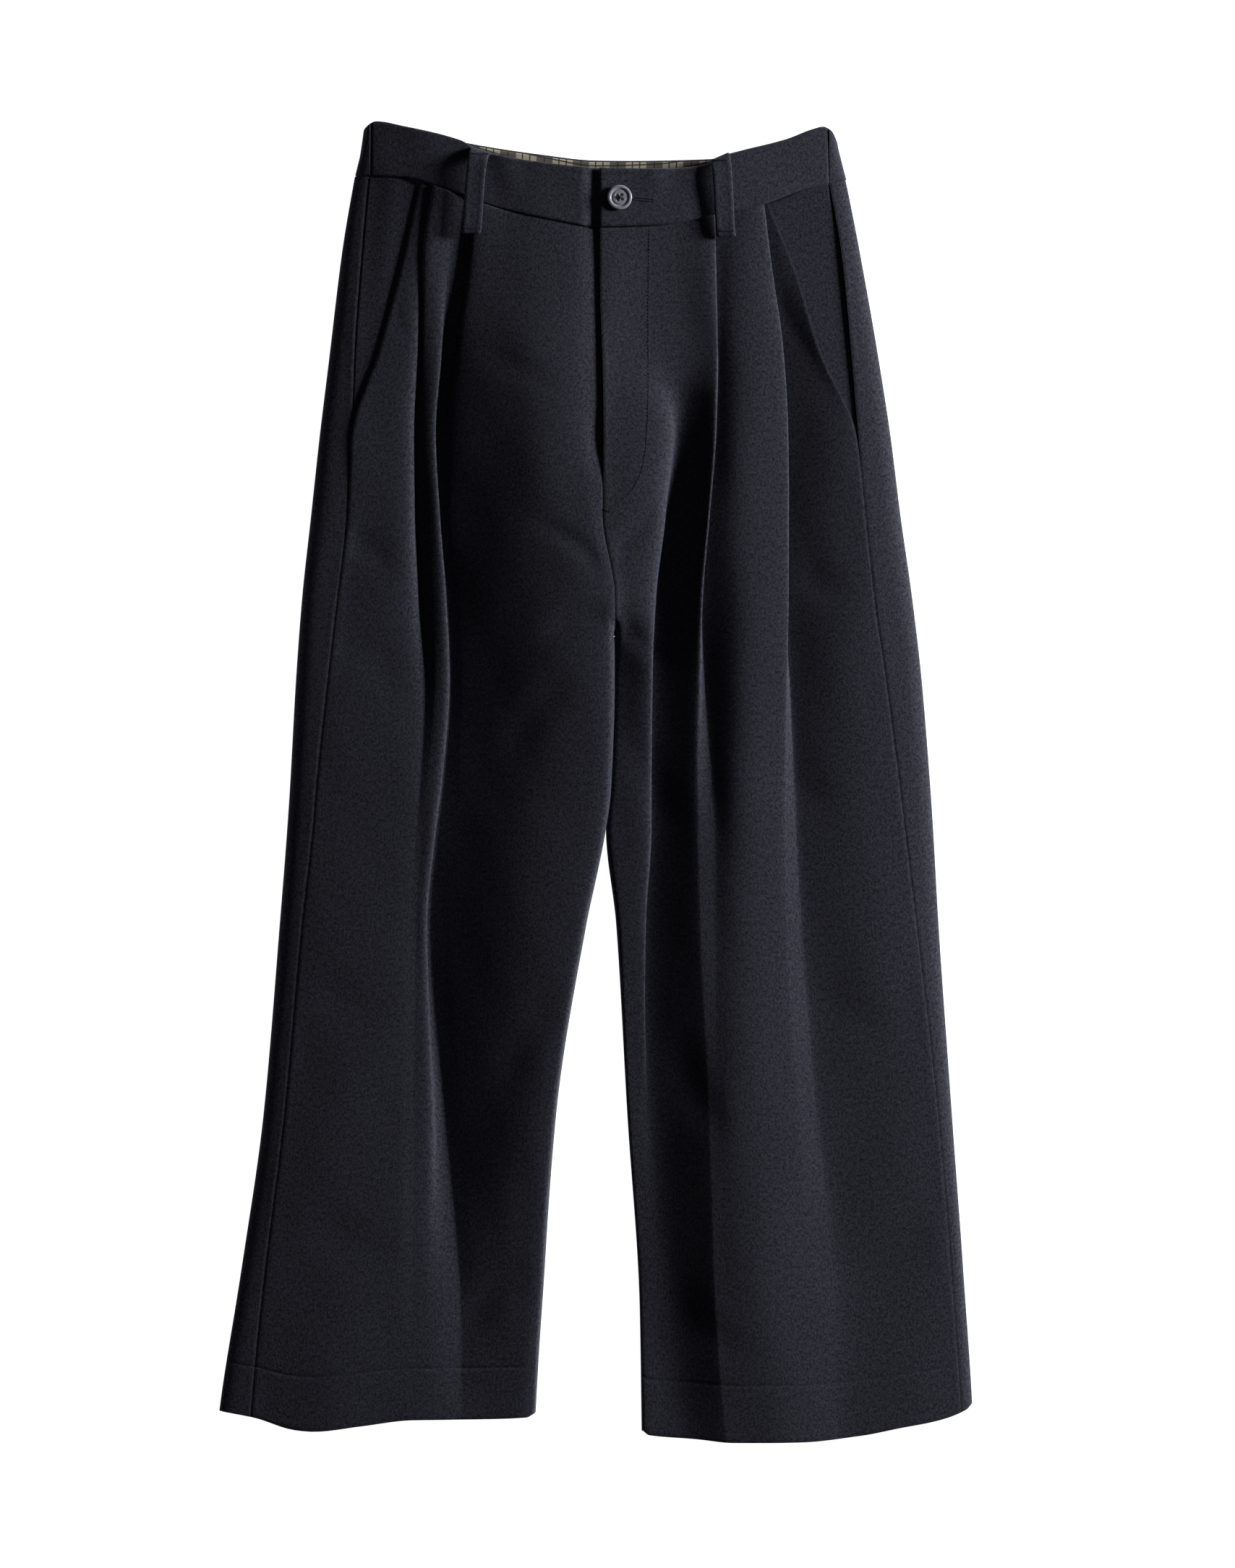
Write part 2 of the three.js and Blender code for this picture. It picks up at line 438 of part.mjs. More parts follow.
// How much higher the back hem ends than the front hem at x. Both are level beside the side seam, where the
// back shows from the front.
const hemLift = (leg, x, y) => BACK_SHORTER * ramp((x - atLevel(leg.outline, y)) * leg.inward, 24, 60);

function backPanel(leg, side) {
  const place = (x, y, z) => new THREE.Vector3(x, panelHeight(x, y, side, hemLift(leg, x, y)), z);
  const grid = BACK_ROWS.map((y) => spline(backControls(leg, y), BACK_STEPS).map(([x, z]) => place(x, y, z)));
  return wall(grid, ...offsets(BACK_ROWS, leg.inward < 0), [() => 1, () => 1]);
}

// Height of the front panel's cloth above the surface at x, near its outer edge.
function frontSurface(leg, y, x) {
  const line = frontLine(leg, y).slice(0, 5);
  const reach = (x - line[0][0]) * leg.inward;
  if (reach <= 0) return line[0][1];
  const spans = line.map((p) => (p[0] - line[0][0]) * leg.inward);
  return along(spans, line.map((p) => p[1]), reach);
}

// The facing that shows beside the slant pocket: it starts at the side seam, lies a little under the front
// panel and runs on beneath its edge.
function pocketFacing(leg, side) {
  const { inward, mouth } = leg;
  const rows = [0, 0.12, 0.28, 0.46, 0.64, 0.82, 1].map((v) => mix(mouth, WAIST_LEVEL - 2 * SEAM_GAP, v));
  const grid = rows.map((y) => {
    const seamX = atLevel(leg.seam.x, y) + SEAM_GAP * inward;
    const [edgeX] = mouthEdge(leg, y);
    const room = Math.abs(atLevel(leg.lip.x, y) - edgeX);
    const endX = edgeX + Math.min(POCKET_UNDERLAP, 0.8 * room) * inward;
    return [0, 0.25, 0.5, 0.75, 1].map((u) => {
      const x = mix(seamX, endX, u);
      const under = (x - edgeX) * inward > 0 ? frontSurface(leg, y, x) : atLevel(leg.edge.z, y);
      const sunk = under - POCKET_STEP[side];
      const rise = mix(atLevel(leg.seam.z, y) - 0.2, sunk, ramp(u, 0, 0.5));
      return new THREE.Vector3(x, panelHeight(x, y, side), Math.min(rise, sunk));
    });
  });
  const half = () => CLOTH / 2;
  return wall(grid, half, half, [() => 1, () => 1]);
}

// One half of the front waistband. The right half runs on under the left one at the fly.
function frontBand(side) {
  const { x: places, z: heights } = FRONT_BAND[side];
  const columns = FRONT_BAND[side].columns;
  const rows = [0, 0.3, 0.65, 1];
  const grid = rows.map((v) =>
    columns.map((x) => {
      const low = along(WAIST_SEAM.x, WAIST_SEAM.y, x) + SEAM_GAP / 2;
      const high = along(BAND_TOP_FRONT.x, BAND_TOP_FRONT.y, x);
      return new THREE.Vector3(x, mix(low, high, v), along(places, heights, x) - BAND_LEAN * v);
    }),
  );
  const half = () => BAND_CLOTH / 2;
  return wall(grid, half, half, [() => 1, () => 1]);
}

// The back waistband, from one side seam round the roll at the side, along the back and up to the other
// side seam.
function backBand() {
  const seamZ = BACK_BAND_SEAM_HEIGHT;
  const height = BACK_BAND_HEIGHT;
  const steps = [1, 1, 2, 2, 1, 2, 2, 2, 2, 2, 2, 1, 2, 2, 1, 1];
  const grid = [0, 0.35, 0.7, 1].map((v) => {
    const half = (side) => {
      const { seam, nose, inward } = BACK_BAND[side];
      const noseX = mix(nose[0], nose[1], v) + (BAND_CLOTH / 2) * inward;
      const rollX = mix(noseX, seam, 0.5);
      return [
        [seam, seamZ],
        [mix(seam, rollX, 0.6), mix(seamZ, height, 0.04)],
        [mix(rollX, noseX, 0.4), mix(seamZ, height, 0.16)],
        [noseX - 2 * inward, mix(seamZ, height, 0.5)],
        [mix(rollX, noseX, 0.4), height],
        [rollX + 10 * inward, height],
        [rollX + 45 * inward, height],
        [rollX + 90 * inward, height],
      ];
    };
    const controls = [...half("right"), [0, height], ...half("left").reverse()];
    return spline(controls, steps).map(([x, z]) => {
      const low = along(WAIST_SEAM.x, WAIST_SEAM.y, x) + SEAM_GAP / 2;
      const high = along(BAND_TOP_BACK.x, BAND_TOP_BACK.y, x);
      return new THREE.Vector3(x, mix(low, high, v), z);
    });
  });
  const half = () => BAND_CLOTH / 2;
  return wall(grid, half, half, [() => 1, () => 1]);
}

// The checked lining lies on the inside of the back waistband and ends just under its top edge.
function bandLining() {
  const height = BACK_BAND_HEIGHT + BAND_CLOTH / 2 + SEAM_GAP + LINING_CLOTH / 2;
  const grid = [0, 0.5, 1].map((v) =>
    LINING_COLUMNS.map((x) => {
      const low = along(WAIST_SEAM.x, WAIST_SEAM.y, x) + 3;
      const high = along(BAND_TOP_BACK.x, BAND_TOP_BACK.y, x) - 1.5;
      return new THREE.Vector3(x, mix(low, high, v), height);
    }),
  );
  const half = () => LINING_CLOTH / 2;
  return wall(grid, half, half);
}

// A belt loop on the front: a strip sewn on just under the waistband's top edge. It stands off the band for
// the belt and comes down on the panel under the seam. topX and lowX are the strip's middle at its two
// ends.
function frontLoop([topX, lowX], side) {
  const edge = (x) => along(BAND_TOP_FRONT.x, BAND_TOP_FRONT.y, x);
  const bandZ = (x) => along(FRONT_BAND[side].x, FRONT_BAND[side].z, x);
  const top = edge(topX);
  const seam = along(WAIST_SEAM.x, WAIST_SEAM.y, lowX);
  const lying = bandZ(topX) + BAND_CLOTH / 2 + SEAM_GAP + LOOP_CLOTH / 2;
  const clear = lying + LOOP_GAP;
  const path = [
    [top - 1, lying - 0.9 * BAND_LEAN],
    [top - 3, lying + 0.3 * LOOP_GAP],
    [top - 8, clear],
    [mix(top, seam, 0.4), clear + 0.5],
    [mix(top, seam, 0.8), clear],
    [LOOP_END[side] + 5, clear - 0.1 * LOOP_GAP],
    [LOOP_END[side] + 1, clear - 0.35 * LOOP_GAP],
  ];
  const grid = path.map(([y, z], i) => {
    const down = i / (path.length - 1);
    return [-0.5, 0, 0.5].map((k) => {
      const aside = k * LOOP_WIDTH;
      const slant = (edge(topX + aside) - top) * (1 - down);
      const lean = (bandZ(topX + aside) - bandZ(topX)) * (1 - down);
      return new THREE.Vector3(mix(topX, lowX, down) + aside, y + slant, z + lean);
    });
  });
  const thick = () => LOOP_CLOTH / 2;
  return wall(grid.reverse(), thick, thick);
}

// A belt loop on the back, pressed flat between the surface and the back waistband.
function backLoop(x) {
  const low = along(WAIST_SEAM.x, WAIST_SEAM.y, x) - 8;
  const high = along(BAND_TOP_BACK.x, BAND_TOP_BACK.y, x) - 1;
  const strip = new THREE.BoxGeometry(LOOP_WIDTH, high - low, LOOP_CLOTH, 1, 2, 1);
  strip.translate(x, (low + high) / 2, LOOP_CLOTH / 2);
  return strip;
}

// The button: a turned disc with a raised rim, a hollow face and four sewing holes.
async function buttonSolid() {
  const { Manifold, CrossSection } = await kernel();
  const r = BUTTON_RADIUS;
  const rim = [[r - 1.2, 0], [r, 0.9], [r, 1.9], [r - 0.9, 2.6], [r - 2.2, 2.4], [r - 3.1, 1.6]];
  const profile = [[0, 0], ...rim, [0, 1.6]];
  const disc = Manifold.revolve(new CrossSection([profile]), 36);
  const holes = [45, 135, 225, 315].map((angle) => {
    const turn = THREE.MathUtils.degToRad(angle + 8);
    return Manifold.cylinder(6, 0.95, 0.95, 10).translate([2.1 * Math.cos(turn), 2.1 * Math.sin(turn), -1]);
  });
  const shape = disc.subtract(Manifold.union(holes)).getMesh();
  const geometry = new THREE.BufferGeometry();
  geometry.setAttribute("position", new THREE.Float32BufferAttribute(shape.vertProperties, 3));
  geometry.setIndex([...shape.triVerts]);
  geometry.translate(...BUTTON_SPOT);
  return geometry;
}

async function kernel() {
  const wasm = await Module();
  wasm.setup();
  return wasm;
}

const PIECES = {
  front_right: [frontPanel(RIGHT_LEG, "right"), MATERIALS.wool],
  front_left: [frontPanel(LEFT_LEG, "left"), MATERIALS.wool],
  back_right: [backPanel(RIGHT_LEG, "right"), MATERIALS.wool],
  back_left: [backPanel(LEFT_LEG, "left"), MATERIALS.wool],
  pocket_facing_right: [pocketFacing(RIGHT_LEG, "right"), MATERIALS.wool],
  pocket_facing_left: [pocketFacing(LEFT_LEG, "left"), MATERIALS.wool],
  waistband_front_right: [frontBand("right"), MATERIALS.wool],
  waistband_front_left: [frontBand("left"), MATERIALS.wool],
  waistband_back: [backBand(), MATERIALS.wool],
  waistband_lining: [bandLining(), MATERIALS.check],
  loop_front_right: [frontLoop(FRONT_LOOPS.right, "right"), MATERIALS.wool],
  loop_front_left: [frontLoop(FRONT_LOOPS.left, "left"), MATERIALS.wool],
  loop_back_right: [backLoop(-BACK_LOOP_SPOT), MATERIALS.wool],
  loop_back_centre: [backLoop(2), MATERIALS.wool],
  loop_back_left: [backLoop(BACK_LOOP_SPOT), MATERIALS.wool],
  button: [await buttonSolid(), MATERIALS.horn],
};

const trousers = new THREE.Group();
for (const [name, [geometry, material]] of Object.entries(PIECES)) {
  const mesh = new THREE.Mesh(geometry, material);
  mesh.name = name;
  trousers.add(mesh);
}
trousers.position.set(OUTLINE_CENTRE_X, -LENGTH / 2, 0);

export default trousers;
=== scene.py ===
# %% [markdown]
# # Pleated wide-leg trousers, laid flat
# The frame that is loaded here holds the plain solids of the trousers: panels, pocket facings, waistband,
# belt loops and button, in metres, with the hems towards -Y and the front upwards. This lesson replaces
# the plain cloth by finer cloth with the same folds, then adds stitching, materials, light and a camera.

# %% Load the frame
import json
import math

import bpy
import numpy as np
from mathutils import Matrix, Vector
from mathutils.bvhtree import BVHTree

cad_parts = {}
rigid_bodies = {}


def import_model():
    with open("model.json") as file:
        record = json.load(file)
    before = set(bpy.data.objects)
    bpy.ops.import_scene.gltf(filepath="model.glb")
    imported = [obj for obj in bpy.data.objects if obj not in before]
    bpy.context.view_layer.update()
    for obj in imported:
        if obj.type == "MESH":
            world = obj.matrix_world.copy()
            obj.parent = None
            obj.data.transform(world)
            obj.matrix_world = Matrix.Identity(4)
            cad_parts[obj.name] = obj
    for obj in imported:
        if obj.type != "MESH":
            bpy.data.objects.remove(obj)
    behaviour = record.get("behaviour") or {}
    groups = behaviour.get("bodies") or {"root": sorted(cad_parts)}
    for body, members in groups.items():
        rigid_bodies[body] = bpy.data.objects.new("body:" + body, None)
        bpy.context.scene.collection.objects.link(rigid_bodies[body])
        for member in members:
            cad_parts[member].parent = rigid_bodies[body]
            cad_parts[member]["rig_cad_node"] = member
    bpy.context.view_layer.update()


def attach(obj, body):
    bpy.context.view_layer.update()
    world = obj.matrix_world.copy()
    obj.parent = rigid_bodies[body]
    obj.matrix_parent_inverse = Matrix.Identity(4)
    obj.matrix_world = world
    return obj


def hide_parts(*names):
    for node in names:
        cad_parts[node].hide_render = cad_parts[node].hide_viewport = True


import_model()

# %% [markdown]
# The photograph looks straight down on the garment. A long lens from about three metres keeps the legs
# parallel, and the camera is centred on the same spot of the garment as the photograph is. It comes
# first, so that each later piece can be judged through it.

# %% Camera
PICTURE_HEIGHT = 1.1496  # metres of the surface that the photograph's height takes in
PICTURE_CENTRE = (0.0159, -0.0016)  # the spot of the surface in the middle of the photograph
LENS = 100  # focal length in mm
SENSOR = 36  # height of the sensor in mm


def add_object(name, data):
    """Adds an object with this data to the scene."""
    thing = bpy.data.objects.new(name, data)
    bpy.context.scene.collection.objects.link(thing)
    return thing


camera_data = bpy.data.cameras.new("camera")
camera_data.sensor_fit = "VERTICAL"
camera_data.sensor_height = SENSOR
camera_data.lens = LENS
camera = add_object("camera", camera_data)
camera.location = (*PICTURE_CENTRE, PICTURE_HEIGHT * LENS / SENSOR + 0.01)
bpy.context.scene.camera = camera
print("camera stands", round(camera.location.z, 2), "m above the surface")

# %% [markdown]
# The cloth of a lying leg is one long section that changes slowly from hem to waist. Each table below
# names the lines of a leg, such as the grooves and folded edges of the two pleats, and gives their
# distance from the fly's line (x) and their height above the surface (z) at a few levels, in millimetres.
# Modelling it by hand would also work, but named lines keep every fold where the photograph has it and
# are easy to move.
#
# From the outside in, the lines are the outline, which only the back panel reaches; the side seam; the
# edge, which above the level called mouth is the slanting pocket mouth; and the flat pan beside it. The
# lip, the dip and the fold are where the outer pleat begins, dives and is folded, and the crest and the
# shoulder lie between the pleats. The valley and the ridge are the inner pleat's dip and fold. The basin,
# the flank and the crown rise to the centre of the front, and inner and end are its last lines, at the
# fly, the centre seam or the inseam. The share by which each pleat is shut, from 0 to 1, comes last.
# Inward is 1 or -1, the direction towards the fly.

# %% Lines of the two legs
LEVELS = [0, 100, 240, 380, 450, 480, 560, 620, 680, 740, 800, 865, 920]
RIGHT_LEG = {
    "inward": 1,
    "mouth": 739,
    "outline": [
        -277, -264.5, -244.5, -232.5, -227, -225, -220.5, -216, -209.5, -203, -195.5, -187, -177.5,
    ],
    "seam": {
        "x": [-254, -246, -229, -216, -208, -205.5, -197, -190, -182.5, -179.5, -177.5, -172.5, -167.5],
        "z": [8, 9, 11, 12, 12.6, 12.6, 12.8, 12.6, 12, 11.6, 11.4, 10.8, 9.5],
    },
    "edge": {
        "x": [-254, -246, -229, -216, -208, -205.5, -197, -190, -182.5, -178.9, -159, -141, -128.5],
        "z": [8, 9, 11, 12, 12.6, 12.6, 12.8, 12.6, 12.4, 12.8, 13.4, 13.8, 13.2],
    },
    "pan": {
        "z": [11, 12, 14, 15, 15, 15, 14.6, 14.2, 13.6, 13.4, 13.8, 14.2, 13.2],
    },
    "lip": {
        "x": [-151, -151, -149, -143, -138, -136.5, -131, -131, -132, -132.5, -131, -128.5, -120.5],
        "z": [11, 12.5, 14.5, 15.7, 16, 16, 15.5, 15.6, 15, 14.6, 14.4, 14, 13.4],
    },
    "dip": {
        "x": [-141, -142, -142, -137, -132, -129.5, -126, -131, -135, -135.5, -131, -126.5, -119.5],
        "z": [11, 12.4, 14.5, 15.5, 15.7, 15.4, 13, 8, 5, 5.4, 9, 12, 12.9],
    },
    "fold": {
        "x": [-131, -133, -132, -131, -126, -123, -116, -118.5, -121, -125.5, -126.5, -126, -118.5],
        "z": [11, 12, 14, 15.5, 16.2, 16.5, 16.5, 15, 13.2, 13, 14.2, 16.4, 16.8],
    },
    "crest": {
        "x": [-122, -125, -119, -122, -115, -111, -105, -107.5, -112.5, -115.5, -112, -113, -108],
        "z": [10.9, 11.9, 14.2, 16.6, 17.6, 17.8, 17.8, 16.8, 14.6, 14.2, 15.4, 15.6, 15.8],
    },
    "shoulder": {
        "x": [-112, -116, -121, -129, -123, -119, -113, -115.5, -120, -123, -116, -108, -99],
        "z": [10.6, 11, 9.8, 8, 7.5, 7.5, 7.5, 7.5, 6.5, 6.5, 10, 14.3, 15.4],
    },
    "valley": {
        "x": [-100, -101, -113, -124, -118, -114, -108, -110.5, -116, -118.5, -109, -101, -92],
        "z": [9.9, 8.6, 5.4, 3.6, 3.6, 3.6, 3.6, 3.6, 3.8, 4, 9, 13.2, 13.4],
    },
    "ridge": {
        "x": [-86, -87, -95, -102, -98, -96.5, -96, -98, -105.5, -105, -100, -92, -88],
        "z": [10.4, 10.4, 9.6, 9, 8.2, 7.8, 7.2, 7.4, 9, 13.2, 16.4, 18, 18],
    },
    "basin": {
        "x": [-66, -67, -68, -72, -68.5, -67, -69, -72, -74, -72, -72, -69, -66],
        "z": [11, 12.6, 15.2, 15.6, 14.8, 14, 13.2, 14.2, 15.8, 18.6, 20.2, 19.4, 17.6],
    },
    "flank": {
        "x": [-59.5, -57, -54, -47, -39, -36, -37, -42, -52, -56, -56, -55, -52],
        "z": [11.4, 13, 17.4, 19.6, 19.6, 19.4, 19.4, 19.8, 19.8, 21.2, 22.8, 20.8, 18.8],
    },
    "crown": {
        "x": [-53, -49, -42, -25, -11, -7, -6, -12, -29, -40, -40, -40, -37],
        "z": [11.6, 13.6, 18.8, 21.6, 22, 22, 22.4, 22.6, 22.8, 23.4, 24.2, 21.8, 19.5],
    },
    "inner": {
        "x": [-47, -43, -32.5, -10.5, 3.5, 6.5, 8, 5, -5.5, -12, -16, -15, -13.5],
        "z": [11, 13.4, 19, 22, 22.2, 22.2, 22.4, 22.8, 23, 22.8, 23, 21.6, 19.6],
    },
    "end": {
        "x": [-45, -40, -30, -7.8, 7, 10.8, 13.4, 13.2, 4.2, 4.2, 3.4, 1.9, 1.8],
        "z": [9, 12, 17, 20, 21, 21, 21, 22, 22, 22, 21.8, 20.8, 19.6],
    },
    "shut": {
        "outer": [0, 0, 0, 0, 0, 0, 0, 0, 0, 0, 0.3, 0.9, 1],
        "inner": [0, 0, 0, 0, 0, 0, 0, 0, 0, 0.15, 0.45, 0.9, 1],
    },
}
LEFT_LEG = {
    "inward": -1,
    "mouth": 711,
    "outline": [275.5, 270.5, 260.5, 250.5, 246.5, 244.5, 238, 231, 222.5, 215, 205.5, 193.5, 182.5],
    "seam": {
        "x": [267, 261.5, 250, 234, 225.5, 222, 211.5, 203, 196.5, 191, 186, 179.5, 170.5],
        "z": [9, 10, 12, 13, 13.8, 14, 15, 15.5, 14.8, 14, 13, 11.8, 10],
    },
    "edge": {
        "x": [267, 261.5, 250, 234, 225.5, 222, 211.5, 203, 196.5, 189.5, 163.5, 144.5, 126],
        "z": [9, 10, 12, 13, 13.8, 14, 15, 15.5, 16, 16, 14.8, 13.6, 13],
    },
    "pan": {
        "z": [10, 10.8, 13, 14.8, 15.2, 15.4, 15.4, 15.4, 15.2, 14.8, 12.8, 12.8, 12.7],
    },
    "lip": {
        "x": [188, 188, 184, 168, 162, 160, 156, 152, 149, 146, 141, 130, 122.5],
        "z": [9.5, 10, 10.8, 11.8, 11.8, 11.8, 11.6, 11.4, 11.4, 11.2, 10.8, 11.8, 12.4],
    },
    "dip": {
        "x": [177, 177, 163, 151, 147, 145.5, 141, 136, 132, 132, 128, 120, 117],
        "z": [10, 10.3, 10.2, 10.2, 10, 9.8, 9, 8.4, 8.4, 8.6, 9, 10.4, 12],
    },
    "fold": {
        "x": [154, 150, 143, 134, 133.5, 134.5, 138, 141, 142, 141, 137, 127.5, 121],
        "z": [12.2, 13.6, 15.2, 15.6, 15.6, 15.4, 15.6, 16.4, 16.6, 16.8, 16.6, 15.9, 15.4],
    },
    "crest": {
        "x": [138, 129, 120, 113, 113, 113.5, 112, 112, 111, 111, 113.5, 111, 110],
        "z": [13.6, 16, 17.6, 17.6, 17.2, 17, 16.8, 17.4, 17.8, 18, 17.8, 17, 15.6],
    },
    "shoulder": {
        "x": [122, 112, 100, 99, 98.5, 98.5, 98, 97.5, 96.5, 98, 98.5, 97, 99],
        "z": [13, 15.8, 17.2, 16.8, 15.8, 15.6, 14.8, 15.8, 16.4, 16.8, 16.9, 16.4, 15.2],
    },
    "valley": {
        "x": [104, 96, 90, 88, 88, 86, 79, 76, 81, 87, 88.5, 88.5, 88],
        "z": [12, 14.4, 15.6, 14.6, 12.4, 10.6, 8.4, 9.6, 12, 13, 13.6, 14, 13.8],
    },
    "ridge": {
        "x": [92, 84, 80, 72, 70, 70, 74, 77.5, 82.5, 86.5, 87.5, 86, 85],
        "z": [11.2, 13.4, 14.2, 13.8, 12.8, 13.2, 15, 18.4, 19.6, 19.8, 19.4, 19.2, 17.8],
    },
    "basin": {
        "x": [70, 62, 48, 41, 43, 43, 44, 46, 55, 62, 69, 66, 61],
        "z": [7, 6.4, 5.2, 4, 3.6, 3.6, 3.6, 3.8, 4.6, 9.6, 15.6, 17, 17.4],
    },
    "flank": {
        "x": [60, 52, 37, 30, 34, 34, 34, 38, 47, 56, 50, 50, 48],
        "z": [6.4, 5.2, 4.4, 4.4, 5, 5, 5.5, 7, 8.5, 13, 16.6, 17.6, 17.8],
    },
    "crown": {
        "x": [48, 44, 36, 40, 45, 45, 46, 48, 54, 53, 34, 34, 33],
        "z": [6, 4.8, 5, 9.4, 13.8, 14, 16, 20.4, 22, 20.8, 18.4, 18, 18.2],
    },
    "inner": {
        "x": [38.5, 36, 26, 20, 15, 17, 19.8, 19.3, 13, 11.5, 10.5, 10.5, 10.5],
        "z": [6, 4.9, 5.2, 8, 10.4, 10.2, 10, 21, 21.8, 21.4, 20.8, 20.2, 19.4],
    },
    "end": {
        "x": [33, 31.5, 22.5, 14.3, 6.8, 9.6, 12.7, 13.6, 4.6, 4.8, 4, 2.3, 2.2],
        "z": [6, 4.9, 5.2, 8, 7.4, 7, 8, 22, 22, 22, 21.8, 20.8, 19.6],
    },
    "shut": {
        "outer": [0, 0, 0, 0, 0, 0, 0, 0.1, 0.2, 0.3, 0.5, 0.9, 1],
        "inner": [0, 0, 0, 0, 0, 0, 0, 0, 0, 0, 0, 0.9, 1],
    },
}
WAIST_SEAM = {
    "x": [-182, -141, -115, -72, -35, 0, 46, 90, 124, 150, 184],
    "y": [929, 927, 919.5, 904, 895.5, 890, 891.5, 900, 908, 918, 926],
}
HEM_LINE = {
    "right": {
        "x": [-276, -251.5, -221, -208, -173, -135, -92, -52, -45],
        "y": [22.5, 18, 9, 8, 12, 16.5, 17, 18.5, 22],
    },
    "left": {
        "x": [34, 38.5, 75, 100, 150, 193, 222, 252, 271, 275],
        "y": [8, 4.8, 2, 0, 0.5, 4.8, 10.5, 16.5, 24, 28],
    },
}
BAND_TOP_BACK = {
    "x": [-173, -169, -162, -141, -96, -42, 0, 26, 83, 105, 139, 158, 166, 172, 176],
    "y": [955, 965, 969, 965, 954, 945.5, 941, 940.8, 942, 946.5, 955.5, 963, 965, 962, 953],
}
BAND_TOP_FRONT = {
    "x": [-173, -169, -162, -141, -100, -86, -42, 0, 50, 77, 91, 105, 139, 158, 166, 172, 176],
    "y": [
        955, 965, 969, 965, 954.5, 947, 938, 933.8, 933, 935.5, 942.5, 946.5, 955.5, 963, 965, 962, 953,
    ],
}

LENGTH = 969  # from the lowest point of the hems to the top of the waistband
OUTLINE_CENTRE_X = 0.75  # distance of the fly's line from the middle of the whole
WAIST_LEVEL = 920  # level of the waist seam
CROTCH_LEVEL = 592  # level of the fork
HEM_DEPTH = 42  # height of the turned-up hem
CLOTH = 1.2  # thickness of the wool
SEAM_GAP = 0.3  # distance that the plain solids keep at a seam
print("levels from the hem up, in mm:", LEVELS)

# %% [markdown]
# Between its levels each line follows a smooth curve. A cubic curve whose slope at an entry is the
# harmonic mean of the two rises beside it passes through every value and never swings past one, so a
# groove can't bulge by accident.

# %% Smooth curves through a table
def along(places, values, t):
    """Cubic curve through (places, values), read at t, whose slope at an entry is as said above."""
    places, values = np.asarray(places, float), np.asarray(values, float)
    t = np.clip(t, places[0], places[-1])
    step = np.diff(places)
    rise = np.diff(values) / step
    both = rise[:-1] * rise[1:]
    total = np.where(both > 0, rise[:-1] + rise[1:], 1)
    slope = np.concatenate([rise[:1], np.where(both > 0, 2 * both / total, 0), rise[-1:]])
    i = np.clip(np.searchsorted(places, t, side="right") - 1, 0, len(step) - 1)
    u = (t - places[i]) / step[i]
    start = values[i] * (1 + 2 * u) * (1 - u) ** 2 + slope[i] * step[i] * u * (1 - u) ** 2
    return start + values[i + 1] * u * u * (3 - 2 * u) + slope[i + 1] * step[i] * u * u * (u - 1)


def reading(table, x, what="y"):
    """A table's values, which are given from side to side, at the distances x from the fly's line."""
    return along(table["x"], table[what], x)


def ramp(t, low, high):
    """Rises smoothly from 0 at low to 1 at high: 3 u^2 - 2 u^3."""
    u = np.clip((t - low) / (high - low), 0, 1)
    return u * u * (3 - 2 * u)


def mix(a, b, share):
    """a where share is 0, b where it is 1."""
    return a + (b - a) * share


def dent(distance, width):
    """A soft bell: 1 where distance is 0, falling off within about twice the width."""
    return np.exp(-((distance / width) ** 2))


print("waist seam at the fly:", float(reading(WAIST_SEAM, 0)), "mm above the hem")

# %% [markdown]
# A section of cloth is a cubic B-spline, a curve that is drawn towards its control points and stays
# smooth where the cloth turns sharply round a pleat. Every row of the cloth has one, so all rows are
# worked out together as arrays.

# %% Sections of the cloth
def stations(counts, crowd_first=1.0, crowd_last=1.0):
    """Span numbers and places inside the span, even, but crowded towards the two outer ends."""
    inside = [np.arange(n) / n for n in counts]
    inside[0] = inside[0] ** crowd_first
    inside[-1] = 1 - (1 - inside[-1]) ** crowd_last
    span = np.repeat(np.arange(len(counts)), counts)
    return np.append(span, len(counts) - 1), np.append(np.concatenate(inside), 1.0)


def section(controls, span, u):
    """Uniform cubic B-spline of each row's control points: each point blends four neighbours."""
    before = 2 * controls[:, :1] - controls[:, 1:2]
    after = 2 * controls[:, -1:] - controls[:, -2:-1]
    line = np.concatenate([before, controls, after], axis=1)
    blend = [(1 - u) ** 3, 3 * u**3 - 6 * u**2 + 4, -3 * u**3 + 3 * u**2 + 3 * u + 1, u**3]
    return sum(w[None, :, None] * line[:, span + k] for k, w in enumerate(blend)) / 6


def points(*pairs):
    """Control points for every row, from pairs of (x, z) that are numbers or one value for each row."""
    size = max(np.size(v) for pair in pairs for v in pair)
    full = [np.stack([np.broadcast_to(v, size) for v in pair], axis=-1) for pair in pairs]
    return np.stack(full, axis=1)


# %% [markdown]
# A reverse pleat is cloth that dives under a folded edge, turns back towards it and turns again over it.
# Its three layers are open further down, where the pleat is only a soft groove, so one number for each
# row says how far it is shut. The front panel's section strings the outer panel, two such pleats and the
# crowned centre panel together.

